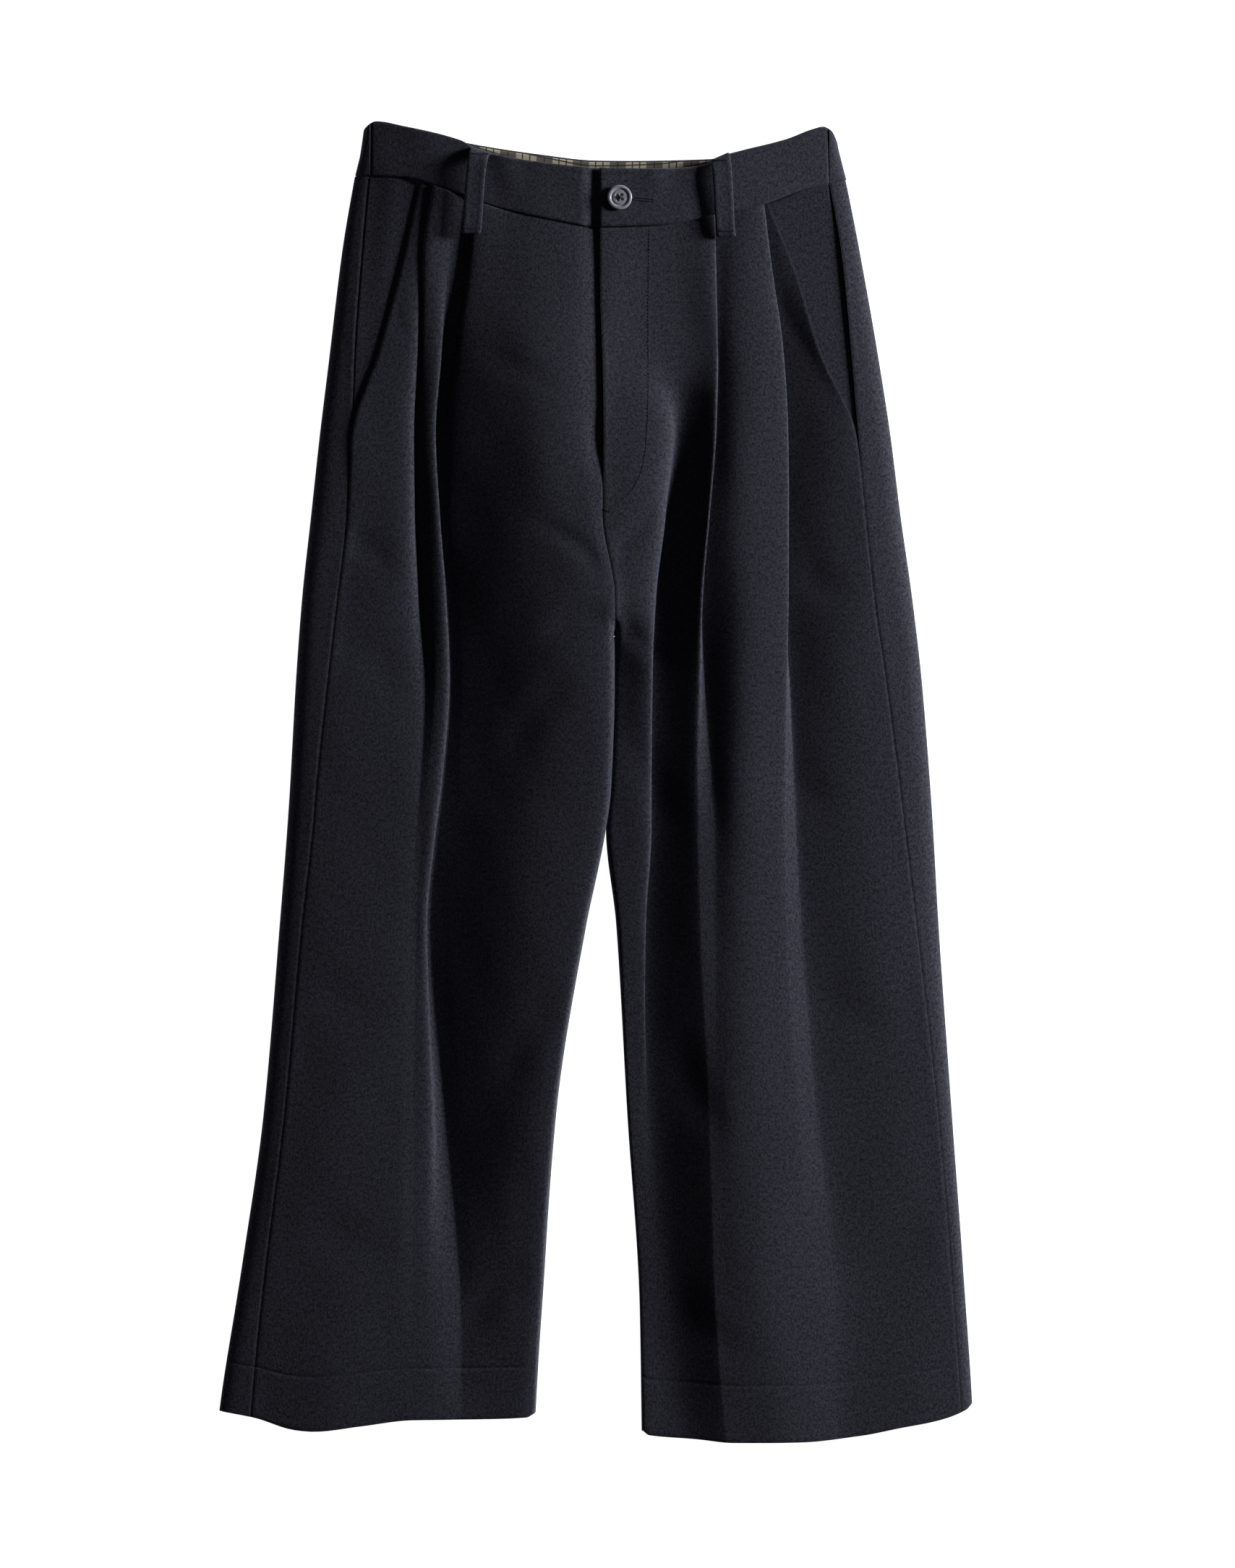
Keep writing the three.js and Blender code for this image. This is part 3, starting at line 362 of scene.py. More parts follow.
# %% Front sections
PLEAT_DEPTH = {"outer": 13, "inner": 17}  # cloth folded under each pleat
PLEAT_TURN = 3  # how far the cloth swings past its two folds
PLEAT_STACK = 5  # height of the three layers
CROTCH_ROLL = 14  # half the height over which the inseam rolls up into the centre seam
FLY_BOTTOM = 696  # level where the fly begins
FLY_DROP = 4.2  # how much lower the right side lies under the left one
FLY_DROP_RISE = 50  # height over which it comes to lie so
FLY_UNDERLAP = 8  # how far the right side reaches under the left one
FLY_UNDERLAP_RISE = (34, 74)  # heights over the fly's bottom between which it widens
INSEAM_HEIGHT = 3.8  # height of the inseam over the surface
TOUCH_BOTTOM = 447  # level above which the legs touch
TOUCH_EASE = (45, 5)  # from this far below that level to this far above it the tuck grows
INSEAM_TUCK = 3  # how far the right leg's lower edge draws back there
FORK_REACH = 1.6  # how far the left back reaches under the right leg at the fork


def line_of(leg, name, y):
    """x and z of one of the leg's named lines at the levels y."""
    return along(LEVELS, leg[name]["x"], y), along(LEVELS, leg[name]["z"], y)


def pleat(dip, fold, depth, shut, inward):
    """Six control points from a groove to a fold: a plain slope where open, three layers where shut."""
    (dip_x, dip_z), (fold_x, fold_z) = dip, fold
    low = np.minimum(dip_z, fold_z - PLEAT_STACK)
    middle = (low + fold_z) / 2
    turn = PLEAT_TURN * inward
    deep = depth * inward
    closed = [
        (fold_x + deep, low),
        (fold_x + deep + turn, (low + middle) / 2),
        (fold_x + deep, middle),
        (fold_x + turn, middle),
        (fold_x - turn, (middle + fold_z) / 2),
        (fold_x + turn, fold_z),
    ]
    shares = [(i + 1) / 7 for i in range(6)]
    return [
        (mix(mix(dip_x, fold_x, s), x, shut), mix(mix(dip_z, fold_z, s), z, shut))
        for s, (x, z) in zip(shares, closed)
    ]


def inseam_tuck(leg, y):
    """How far the right leg's lower edge draws back where the legs touch, over the left leg's."""
    rise = ramp(y, TOUCH_BOTTOM - TOUCH_EASE[0], TOUCH_BOTTOM + TOUCH_EASE[1])
    fall = 1 - ramp(y, CROTCH_LEVEL, CROTCH_LEVEL + CROTCH_ROLL)
    return INSEAM_TUCK * rise * fall * (leg["inward"] > 0)


def mouth_edge(leg, y):
    """Outer edge of a front panel: the side seam up to the pocket, then the slanting pocket mouth."""
    seam_x = along(LEVELS, leg["seam"]["x"], y)
    edge_x, edge_z = line_of(leg, "edge", y)
    return np.where(y < leg["mouth"], seam_x, edge_x), edge_z


def front_controls(leg, y):
    """Control points of a front panel at the levels y, from its outer edge to its inner one."""
    inward = leg["inward"]
    edge_x, edge_z = mouth_edge(leg, y)
    lip_x, lip_z = line_of(leg, "lip", y)
    inner_x, inner_z = line_of(leg, "inner", y)
    end_x, end_z = line_of(leg, "end", y)
    right = inward > 0
    tuck = inseam_tuck(leg, y)
    tip_x = end_x + right * FLY_UNDERLAP * ramp(y - FLY_BOTTOM, *FLY_UNDERLAP_RISE)
    tip_z = end_z - right * FLY_DROP * ramp(y, FLY_BOTTOM, FLY_BOTTOM + FLY_DROP_RISE)
    roll = 1 - ramp(y, CROTCH_LEVEL - CROTCH_ROLL, CROTCH_LEVEL + CROTCH_ROLL)
    rolled = [
        (end_x - 1.6 * inward, mix(INSEAM_HEIGHT, inner_z, 0.94)),
        (end_x - 0.2 * inward, mix(INSEAM_HEIGHT, inner_z, mix(0.46, 0.6, tuck / INSEAM_TUCK))),
        (end_x - 0.6 * inward - tuck, INSEAM_HEIGHT),
    ]
    end = [
        (mix(mix(inner_x, tip_x, k / 3), x, roll), mix(mix(inner_z, tip_z, k / 3), z, roll))
        for k, (x, z) in enumerate(rolled, start=1)
    ]
    shut = {name: along(LEVELS, leg["shut"][name], y) for name in ("outer", "inner")}
    dip, fold = line_of(leg, "dip", y), line_of(leg, "fold", y)
    valley, ridge = line_of(leg, "valley", y), line_of(leg, "ridge", y)
    return points(
        (edge_x, edge_z),
        ((edge_x + lip_x) / 2, along(LEVELS, leg["pan"]["z"], y)),
        (lip_x, lip_z),
        dip,
        *pleat(dip, fold, PLEAT_DEPTH["outer"], shut["outer"], inward),
        line_of(leg, "crest", y),
        line_of(leg, "shoulder", y),
        valley,
        *pleat(valley, ridge, PLEAT_DEPTH["inner"], shut["inner"], inward),
        line_of(leg, "basin", y),
        line_of(leg, "flank", y),
        line_of(leg, "crown", y),
        (inner_x, inner_z),
        *end,
    )


FRONT_COUNTS = [16, 10, 6, 5, 5, 5, 5, 5, 5, 5, 6, 6, 6, 5, 5, 5, 5, 5, 8, 6, 6, 8, 6, 6, 8]
FRONT_STATIONS = stations(FRONT_COUNTS, crowd_first=2.2, crowd_last=1.6)
print("points across a front panel:", len(FRONT_STATIONS[0]))

# %% [markdown]
# The waist sags in the middle and the hems slant, so a level isn't a straight line across the cloth. The
# true height of a point is its level plus a share of the sag near the waist and of the slant near the
# hem.

# %% Rows and heights
WAIST_EASE = 160  # height over which the waist's sag fades in
HEM_EASE = 130  # height over which the hem's slant fades out
CLOSE = 0.03  # what is left of a seam's gap once the cloth is sewn
MM = 0.001


def true_height(x, y, side, shorter=0.0):
    """Level y, plus the waist seam's sag, which fades in upwards, plus the hem's slant, which fades out."""
    sag = (reading(WAIST_SEAM, x) - WAIST_LEVEL) * ramp(y, WAIST_LEVEL - WAIST_EASE, WAIST_LEVEL)
    slant = (reading(HEM_LINE[side], x) + shorter) * (1 - ramp(y, 0, HEM_EASE))
    return y + sag + slant


def to_frame(x, y, z):
    """Millimetres from the fly's line, the hem and the surface, as metres in the frame."""
    return np.stack([x + OUTLINE_CENTRE_X, y - LENGTH / 2, z], axis=-1) * MM


ROWS = np.concatenate([
    [0, 0.5, 1.1, 2, 3.5],
    np.linspace(6, 38, 10),
    np.linspace(39.5, 44.5, 7),
    np.linspace(48, 560, 120),
    np.linspace(564, 622, 34),
    np.linspace(626, 908, 84),
    [911, 913.5, 915.5, 917, 918.2, 919.1, WAIST_LEVEL - CLOSE],
])
print("rows from hem to waist:", len(ROWS))

# %% [markdown]
# Cloth is a thin solid. Each point of its middle surface is moved out along the surface's normal by half
# the cloth to one side and half to the other, and the rim is closed. A Solidify modifier would do the
# same, but here the thickness can grow at the hem, and the cloth gets a UV map in real metres for its
# weave at the same time.

# %% Thin solids from a grid
RIM_SHARE = 0.6  # thickness at the cut edge, as a share, which rounds it


def lengths(grid, axis):
    """Distance along the surface from the first row or column, in metres."""
    steps = np.linalg.norm(np.diff(grid, axis=axis), axis=2)
    start = np.zeros_like(np.take(steps, [0], axis=axis))
    return np.concatenate([start, np.cumsum(steps, axis=axis)], axis=axis)


def widest(grid):
    """The longest of the rows, measured along the cloth, in metres."""
    return float(lengths(grid, 1)[:, -1].max())


def normals_of(grid):
    """Unit normals: the cross product of the directions along a row and along a column."""
    across = np.gradient(grid, axis=1)
    upward = np.gradient(grid, axis=0)
    normal = np.cross(across, upward)
    return normal / np.linalg.norm(normal, axis=2, keepdims=True)


def solid_faces(rows, cols):
    """Corners of every quad of the outer face, the inner face and the rim of a grid's thin solid."""
    i, j = np.meshgrid(np.arange(rows - 1), np.arange(cols - 1), indexing="ij")
    corner = (i * cols + j).ravel()
    far = rows * cols
    outer = np.stack([corner, corner + 1, corner + cols + 1, corner + cols], axis=1)
    inner = outer[:, ::-1] + far
    ring = np.concatenate([
        np.arange(cols),
        np.arange(1, rows) * cols + cols - 1,
        (rows - 1) * cols + np.arange(cols - 2, -1, -1),
        np.arange(rows - 2, 0, -1) * cols,
    ])
    after = np.roll(ring, -1)
    rim = np.stack([ring, ring + far, after + far, after], axis=1)
    return np.concatenate([outer, inner, rim])


def is_inside_out(vertices, quads):
    """Whether six times the volume inside the quads, a.(b x c) + a.(c x d) for each, is negative."""
    a, b, c, d = (vertices[quads[:, k]] for k in range(4))
    return (a * np.cross(b, c)).sum() + (a * np.cross(c, d)).sum() < 0


def flip_if_inside_out(vertices, quads):
    """Turns every face round where the solid's volume comes out negative."""
    return quads[:, ::-1] if is_inside_out(vertices, quads) else quads


def mesh_piece(name, vertices, faces, slot="wool", replaced=(), uv=None):
    """Makes a smooth piece, with its UV map if it has one, and lets it ride in place of CAD nodes."""
    mesh = bpy.data.meshes.new(name)
    mesh.from_pydata(vertices, [], faces)
    if uv is not None:
        layer = mesh.uv_layers.new(name="cloth")
        loops = np.empty(len(mesh.loops), int)
        mesh.loops.foreach_get("vertex_index", loops)
        layer.data.foreach_set("uv", uv[loops].astype(np.float32).ravel())
    mesh.polygons.foreach_set("use_smooth", np.ones(len(mesh.polygons), bool))
    mesh.update()
    piece = add_object(name, mesh)
    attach(piece, "root")
    if replaced:
        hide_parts(*replaced)
    return piece


def cloth_solid(name, grid, front, back, replaced, slot="wool"):
    """A closed sheet round a grid of middle points, front and back metres thick to its two sides."""
    rows, cols = grid.shape[:2]
    normal = normals_of(grid)
    rim = np.ones((rows, cols))
    rim[[0, -1], :] = RIM_SHARE
    rim[:, [0, -1]] = RIM_SHARE
    front, back = (np.broadcast_to(side, (rows, cols)) * rim for side in (front, back))
    outer = grid + normal * front[..., None]
    inner = grid - normal * back[..., None]
    vertices = np.concatenate([outer.reshape(-1, 3), inner.reshape(-1, 3)])
    faces = flip_if_inside_out(vertices, solid_faces(rows, cols))
    flat = np.stack([lengths(grid, 1), lengths(grid, 0)], axis=-1).reshape(-1, 2)
    return mesh_piece(name, vertices, faces.tolist(), slot, replaced, np.concatenate([flat, flat]))


def cut_area(grid):
    """Area of the middle surface, in square metres, from the two triangles of every quad."""
    a, b, c, d = grid[:-1, :-1], grid[:-1, 1:], grid[1:, 1:], grid[1:, :-1]
    halves = [np.linalg.norm(np.cross(*pair), axis=2) for pair in ((b - a, c - a), (c - a, d - a))]
    return float((halves[0] + halves[1]).sum() / 2)


print("cloth is", CLOTH, "mm thick, and", RIM_SHARE * CLOTH, "mm at its cut edges")

# %% [markdown]
# Besides its big folds, pressed wool has small uneven ones: drag lines that fan out from the fork, short
# dents where the cloth bends at the hip, and a very slight unrest all over. Each crease is a line with a
# width and a depth, and lowers the cloth by a bell-shaped groove that fades out towards the line's ends.
# The grooves are listed one by one.

# %% Small creases
CREASES = {
    "right": [
        # from x, from y, to x, to y, width, depth
        (4, 640, -46, 676, 7, 0.9),
        (8, 610, -40, 590, 9, 1.1),
        (-20, 560, -66, 500, 12, 0.9),
        (-30, 770, -84, 800, 10, 0.6),
        (-150, 640, -190, 668, 10, 0.7),
        (-146, 560, -196, 590, 14, 0.6),
        (-30, 330, -70, 250, 14, 0.8),
        (-160, 300, -205, 340, 16, 0.6),
        (-150, 130, -215, 160, 16, 0.7),
        (-60, 130, -100, 60, 12, 0.7),
        (-160, 870, -135, 800, 6, 0.5),
    ],
    "left": [
        (10, 650, 44, 690, 7, 0.9),
        (16, 604, 60, 570, 8, 0.9),
        (26, 520, 66, 450, 12, 0.7),
        (40, 780, 84, 760, 9, 0.6),
        (150, 640, 190, 620, 12, 0.7),
        (120, 500, 176, 470, 14, 0.6),
        (60, 300, 96, 220, 12, 0.8),
        (160, 330, 220, 300, 16, 0.7),
        (170, 120, 240, 150, 16, 0.7),
        (60, 110, 110, 60, 12, 0.7),
        (130, 860, 160, 790, 6, 0.5),
    ],
}


def crease_depth(side, x, y):
    """Sum of the grooves: each is depth times a bell across its line times a soft window along it."""
    total = np.zeros_like(x)
    for x0, y0, x1, y1, width, depth in CREASES[side]:
        length = math.hypot(x1 - x0, y1 - y0)
        ux, uy = (x1 - x0) / length, (y1 - y0) / length
        forward = (x - x0) * ux + (y - y0) * uy
        aside = (x - x0) * -uy + (y - y0) * ux + 0.06 * length * np.sin(math.pi * forward / length)
        fade_in = ramp(forward, -0.15 * length, 0.3 * length)
        window = fade_in * (1 - ramp(forward, 0.6 * length, 1.15 * length))
        total += depth * window * dent(aside, width)
    return total


def unrest(x, y):
    """Very low uneven waves, in millimetres: three crossed sine waves of unrelated lengths."""
    slow = np.sin(x / 23 + y / 61) * np.cos(y / 47 - x / 83)
    middle = np.sin(x / 11.3 - y / 37 + 1.3 * np.sin(y / 71))
    quick = np.sin(y / 13.1 + x / 19.7) * np.sin(x / 8.9 + 0.7)
    return 0.22 * slow + 0.12 * middle + 0.07 * quick


print("creases:", {side: len(rows) for side, rows in CREASES.items()})

# %% [markdown]
# A seam shows as a fine groove, because the cloth turns down into it on both sides. The same bell,
# measured from the panel's edge along the cloth, makes it. The hem's blind stitching pulls the cloth in
# by a hair all along one line.

# %% Front panels
SEAM_DENT = 0.3  # depth of the groove at a seam
SEAM_WIDTH = 1.1  # width of its bell
HEM_DENT, HEM_DENT_WIDTH = 0.3, 1.3  # the same of the hem's stitching line
FOLD_DENT, FOLD_DENT_WIDTH = 0.35, 1.2  # and of the hem's folded edge
HEM_EXTRA = 0.8  # how much thicker the hem is than one layer


def front_grid(leg, side):
    """Middle surface of a front panel: its sections at their true heights, with seams, hem and creases."""
    across = section(front_controls(leg, ROWS), *FRONT_STATIONS)
    x, z = across[..., 0], across[..., 1]
    level = ROWS[:, None] + 0 * x
    base = to_frame(x, true_height(x, level, side), z)
    from_edge = lengths(base, 1) / MM
    to_end = from_edge[:, -1:] - from_edge
    seams = dent(from_edge, SEAM_WIDTH) + dent(to_end, SEAM_WIDTH) + dent(WAIST_LEVEL - level, SEAM_WIDTH)
    hem = HEM_DENT * dent(level - HEM_DEPTH, HEM_DENT_WIDTH) + FOLD_DENT * dent(level, FOLD_DENT_WIDTH)
    quiet = ramp(to_end, 0, 12) * ramp(from_edge, 0, 10) * ramp(WAIST_LEVEL - level, 0, 30)
    z = z - SEAM_DENT * seams - hem - crease_depth(side, x, level) * quiet + unrest(x, level) * quiet
    return to_frame(x, true_height(x, level, side), z)


def panel_sides(outwards):
    """Thickness to each side of a panel's middle surface, with the hem's second layer on the inside."""
    outside = np.full((len(ROWS), 1), CLOTH / 2 * MM)
    inside = outside + HEM_EXTRA * MM * (1 - ramp(ROWS, HEM_DEPTH - 1, HEM_DEPTH + 1))[:, None]
    return (outside, inside) if outwards else (inside, outside)


LEGS = {"right": RIGHT_LEG, "left": LEFT_LEG}
fronts = {}
for side, leg in LEGS.items():
    grid = front_grid(leg, side)
    piece = cloth_solid(f"front_{side}_cloth", grid, *panel_sides(leg["inward"] > 0), [f"front_{side}"])
    fronts[side] = piece
    print(piece.name, "widest", round(widest(grid), 3), "m, area", round(cut_area(grid), 3), "m2")

# %% [markdown]
# The back panel rests on the surface, rolls up round the side and meets the front at the side seam, which
# lies on top of the leg a little inside its outline. Near the waist the flat belt loops lie under it and
# lift it slightly.

# %% Back panels
SIDE_ROLL = 8  # radius of the roll at the outline
BACK_SHORTER = 2.5  # how much higher the back's hem lies than the front's
BACK_LIFT, BACK_LIFT_RISE = 2, (840, 895)  # lift by the back's belt loops, and the levels of its rise
FORK_RISE = (CROTCH_LEVEL - 60, CROTCH_LEVEL - 20)  # levels between which the reach at the fork grows
BACK_STATIONS = stations([12, 6, 10, 10, 6, 12, 12, 12, 8], crowd_first=2, crowd_last=1.6)


def back_controls(leg, y):
    """Control points of a back panel: side seam, roll round the outline, surface, inner edge."""
    inward = leg["inward"]
    outline = along(LEVELS, leg["outline"], y) + CLOTH / 2 * inward
    seam_x, seam_z = line_of(leg, "seam", y)
    seam_x = seam_x - 2 * CLOSE * inward
    low = CLOTH / 2 + BACK_LIFT * ramp(y, *BACK_LIFT_RISE)
    roll = np.minimum(SIDE_ROLL, 0.5 * np.abs(seam_x - outline))
    roll_x, nose = outline + roll * inward, outline - 0.35 * roll * inward
    centre = mix(14, 2, ramp(y, CROTCH_LEVEL, WAIST_LEVEL)) - SEAM_GAP / 2 * inward
    reach = FORK_REACH * ramp(y, *FORK_RISE) * (inward < 0)
    inseam = along(LEVELS, leg["end"]["x"], y) - inseam_tuck(leg, y) - reach
    inner_x = np.where(y < CROTCH_LEVEL, inseam, centre)
    floor = [(mix(roll_x, inner_x, share), low) for share in (0.12, 0.4, 0.7, 0.93)]
    return points(
        (seam_x, seam_z),
        (mix(seam_x, roll_x, 0.6), mix(seam_z, low, 0.06)),
        (mix(roll_x, nose, 0.3), mix(seam_z, low, 0.14)),
        (nose, mix(seam_z, low, 0.5)),
        (mix(roll_x, nose, 0.3), low),
        *floor,
        (inner_x, low),
    )


def back_grid(leg, side):
    """Middle surface of a back panel, with the side seam's groove and the hem's line on what shows."""
    across = section(back_controls(leg, ROWS), *BACK_STATIONS)
    x, z = across[..., 0], across[..., 1]
    level = ROWS[:, None] + 0 * x
    shorter = BACK_SHORTER * ramp((x - along(LEVELS, leg["outline"], level)) * leg["inward"], 24, 60)
    height = true_height(x, level, side, shorter)
    from_seam = lengths(to_frame(x, height, z), 1) / MM
    showing = 1 - ramp(from_seam, 12, 24)
    hem = HEM_DENT * dent(level - HEM_DEPTH, HEM_DENT_WIDTH) * showing
    z = z - SEAM_DENT * dent(from_seam, SEAM_WIDTH) - hem
    z = z + 0.5 * unrest(x, level) * showing * ramp(from_seam, 0, 6)
    return to_frame(x, height, z)


for side, leg in LEGS.items():
    grid = back_grid(leg, side)
    piece = cloth_solid(f"back_{side}_cloth", grid, *panel_sides(leg["inward"] < 0), [f"back_{side}"])
    print(piece.name, "widest", round(widest(grid), 3), "m, area", round(cut_area(grid), 3), "m2")

# %% [markdown]
# Beside each slant pocket a facing of the same wool shows, one layer lower than the front panel. It
# starts at the side seam and runs on under the pocket's edge, so it is worked out from the panel's own
# surface, moved down.

# %% Pocket facings
POCKET_UNDERLAP = 14  # how far a facing runs on under the front panel
POCKET_STEP = {"right": 1.6, "left": 3.4}  # how much lower it lies than the panel


def facing_grid(leg, side):
    """Middle surface of a facing: from the side seam to under the pocket's edge, below the front panel."""
    inward = leg["inward"]
    y = np.linspace(leg["mouth"], WAIST_LEVEL - CLOSE, 70)
    controls = front_controls(leg, y)
    near = section(controls, *stations([16, 16] + [1] * 22))[:, :33]
    edge_x, edge_z = controls[:, 0, 0], controls[:, 0, 1]
    seam_x, seam_z = line_of(leg, "seam", y)
    room = np.abs(controls[:, 2, 0] - edge_x)
    end_x = edge_x + np.minimum(POCKET_UNDERLAP, 0.8 * room) * inward
    u = np.linspace(0, 1, 30)[None, :]
    x = mix((seam_x + SEAM_GAP * inward)[:, None], end_x[:, None], u)
    reach = np.clip((x - edge_x[:, None]) * inward, 0, None)
    spans = (near[..., 0] - near[:, :1, 0]) * inward
    above = np.stack([np.interp(r, s, z) for r, s, z in zip(reach, spans, near[..., 1])])
    under = np.where(reach > 0, above, edge_z[:, None]) - POCKET_STEP[side]
    z = np.minimum(mix((seam_z - 0.2)[:, None], under, ramp(u, 0, 0.5)), under)
    level = y[:, None] + 0 * x
    edge_dent = 0.3 * SEAM_DENT * dent((x - x[:, :1]) * inward, SEAM_WIDTH)
    return to_frame(x, true_height(x, level, side), z - edge_dent)


for side, leg in LEGS.items():
    grid = facing_grid(leg, side)
    name, half = f"pocket_facing_{side}", CLOTH / 2 * MM
    piece = cloth_solid(f"{name}_cloth", grid, half, half, [name])
    print(piece.name, "area", round(cut_area(grid), 4), "m2")

# %% [markdown]
# The waistband is two layers of wool on a stiffener, so it is thicker and smoother than the panels, with
# rounded edges. Its front halves lap at the fly, and its back goes round both sides in one piece. All of
# it is made from the waist seam's line below and the top edge's line above, with the height of the cloth
# given from side to side.

# %% Waistband
BAND_CLOTH = 2.2  # thickness of two layers and a stiffener
BAND_LEAN = 1  # how much lower the band lies at its top edge
BAND_HEIGHT = 42  # its usual height, for the rounding of its edges
FRONT_BAND = {
    "right": {
        "x": [-167, -150, -128, -99, -60, -37, -12, 0, 30],
        "z": [9.6, 11.8, 14, 15.6, 18.2, 19.6, 20, 17.4, 17.1],
    },
    "left": {
        "x": [1, 31, 61, 99, 124, 150, 171],
        "z": [20.4, 20, 19, 16, 14.2, 12, 9.9],
    },
}
FRONT_BAND_ENDS = {"right": (-165.95, 29), "left": (169.95, 2)}
BACK_BAND = {
    "right": {"seam": -166, "nose": (-177.2, -170), "inward": 1},
    "left": {"seam": 170, "nose": (183.2, 175.5), "inward": -1},
}
PUCKERS = [(5.2, 2, -68), (4.7, -1, 54)]  # length, lean and place of the puckers in the band
BACK_BAND_HEIGHT = 3.2  # height of the back's flat part over the surface
BAND_SEAM_HEIGHT = 9.6  # height of the band's side seams
UP = np.concatenate([[0, 0.02, 0.045, 0.08], np.linspace(0.12, 0.88, 16), [0.92, 0.955, 0.98, 1]])


def rounded_edges(v, height, cloth):
    """Thickness across a band: full in the middle, rounded off like a quarter circle near both edges."""
    near = np.minimum(v, 1 - v) * height
    return cloth / 2 * np.sqrt(np.clip(1 - (1 - np.clip(near / (cloth * 0.7), 0, 1)) ** 2, 0.06, 1))


def front_band_grid(side):
    """Middle surface of a front half: level with its seam's table, leaning down towards the top edge."""
    start, end = FRONT_BAND_ENDS[side]
    x = np.linspace(start, end, 130)[None, :] + 0 * UP[:, None]
    v = UP[:, None]
    z = reading(FRONT_BAND[side], x, "z") - BAND_LEAN * v
    puckers = sum(0.35 * np.sin(x / wave + lean * v) * dent(x - spot, 22) for wave, lean, spot in PUCKERS)
    z = z + puckers * v + 0.15 * np.sin(x / 9 + 3 * v) - 0.1 * dent((x - start), SEAM_WIDTH)
    return to_frame(x, mix(reading(WAIST_SEAM, x) + CLOSE, reading(BAND_TOP_FRONT, x), v), z)


def back_band_grid():
    """Middle surface of the back: side seam, roll, surface, and the same again mirrored."""
    ends = {}
    for side, band in BACK_BAND.items():
        inward, seam = band["inward"], band["seam"]
        nose = mix(*band["nose"], UP) + BAND_CLOTH / 2 * inward
        roll = mix(nose, seam, 0.5)
        top, low = BAND_SEAM_HEIGHT, BACK_BAND_HEIGHT
        ends[side] = [
            (seam, top),
            (mix(seam, roll, 0.6), mix(top, low, 0.04)),
            (mix(roll, nose, 0.4), mix(top, low, 0.16)),
            (nose - 2 * inward, mix(top, low, 0.5)),
            (mix(roll, nose, 0.4), low),
            *((roll + along_floor * inward, low) for along_floor in (10, 45, 90)),
        ]
    controls = points(*ends["right"], (0, BACK_BAND_HEIGHT), *reversed(ends["left"]))
    across = section(controls, *stations([6, 6, 8, 8, 6, 8, 8, 12, 12, 8, 8, 6, 8, 8, 6, 6], 1.5, 1.5))
    x, z = across[..., 0], across[..., 1]
    return to_frame(x, mix(reading(WAIST_SEAM, x) + CLOSE, reading(BAND_TOP_BACK, x), UP[:, None]), z)


band_thick = rounded_edges(UP, BAND_HEIGHT, BAND_CLOTH)[:, None] * MM
band_grids = {f"front_{side}": front_band_grid(side) for side in LEGS}
band_grids["back"] = back_band_grid()
bands = {}
for part, grid in band_grids.items():
    name = f"waistband_{part}"
    bands[part] = cloth_solid(f"{name}_cloth", grid, band_thick, band_thick, [name])
    print(bands[part].name, round(widest(grid), 3), "m long")

# %% [markdown]
# The inside of the back waistband is lined with a woven check, and a narrow strip of it shows between the
# front band and the back band at the waist's opening.

# %% Waistband lining
LINING_CLOTH = 1  # thickness
LINING_END = 150  # distance of its ends from the fly's line
LINING_BELOW, LINING_ABOVE = 3, 1.5  # distances from the waist seam and from the band's top edge


def lining_grid():
    """Middle surface of the lining: flat on the inside of the back band, ending below its top edge."""
    x = np.linspace(-LINING_END, LINING_END, 160)[None, :] + 0 * UP[:, None]
    v = UP[:, None]
    z = BACK_BAND_HEIGHT + BAND_CLOTH / 2 + SEAM_GAP + LINING_CLOTH / 2 + 0.12 * np.sin(x / 14) * v
    low, high = reading(WAIST_SEAM, x) + LINING_BELOW, reading(BAND_TOP_BACK, x) - LINING_ABOVE
    return to_frame(x, mix(low, high, v), z)


grid, half = lining_grid(), LINING_CLOTH / 2 * MM
lining = cloth_solid("waistband_lining_cloth", grid, half, half, ["waistband_lining"], "check")
print("lining area", round(cut_area(grid), 4), "m2")

# %% [markdown]
# A belt loop is a folded strip. The front ones are sewn on at the band's top edge, stand a little off the
# band so that a belt can pass, and come down below the seam. The ones on the back are pressed flat by the
# trousers' own weight. Each is a profile along a path, with soft rounded edges and a shallow hollow along
# the middle.

# %% Belt loops
LOOP_WIDTH = 14
LOOP_CLOTH = 1.5  # thickness
LOOP_GAP = 3  # how far a loop stands off the band
FRONT_LOOPS = {"right": (-84.5, -92.5), "left": (89.5, 95)}  # x of the upper and of the lower end
LOOP_END = {"right": 885.5, "left": 883}  # y of the lower end
BACK_LOOPS = {"right": -118, "centre": 2, "left": 118}  # x
BACK_LOOP_ENDS = (1, 8)  # how far the back's loops end below the top edge and below the waist seam
ACROSS_LOOP = np.concatenate([[-1, -0.97, -0.9], np.linspace(-0.8, 0.8, 13), [0.9, 0.97, 1]])


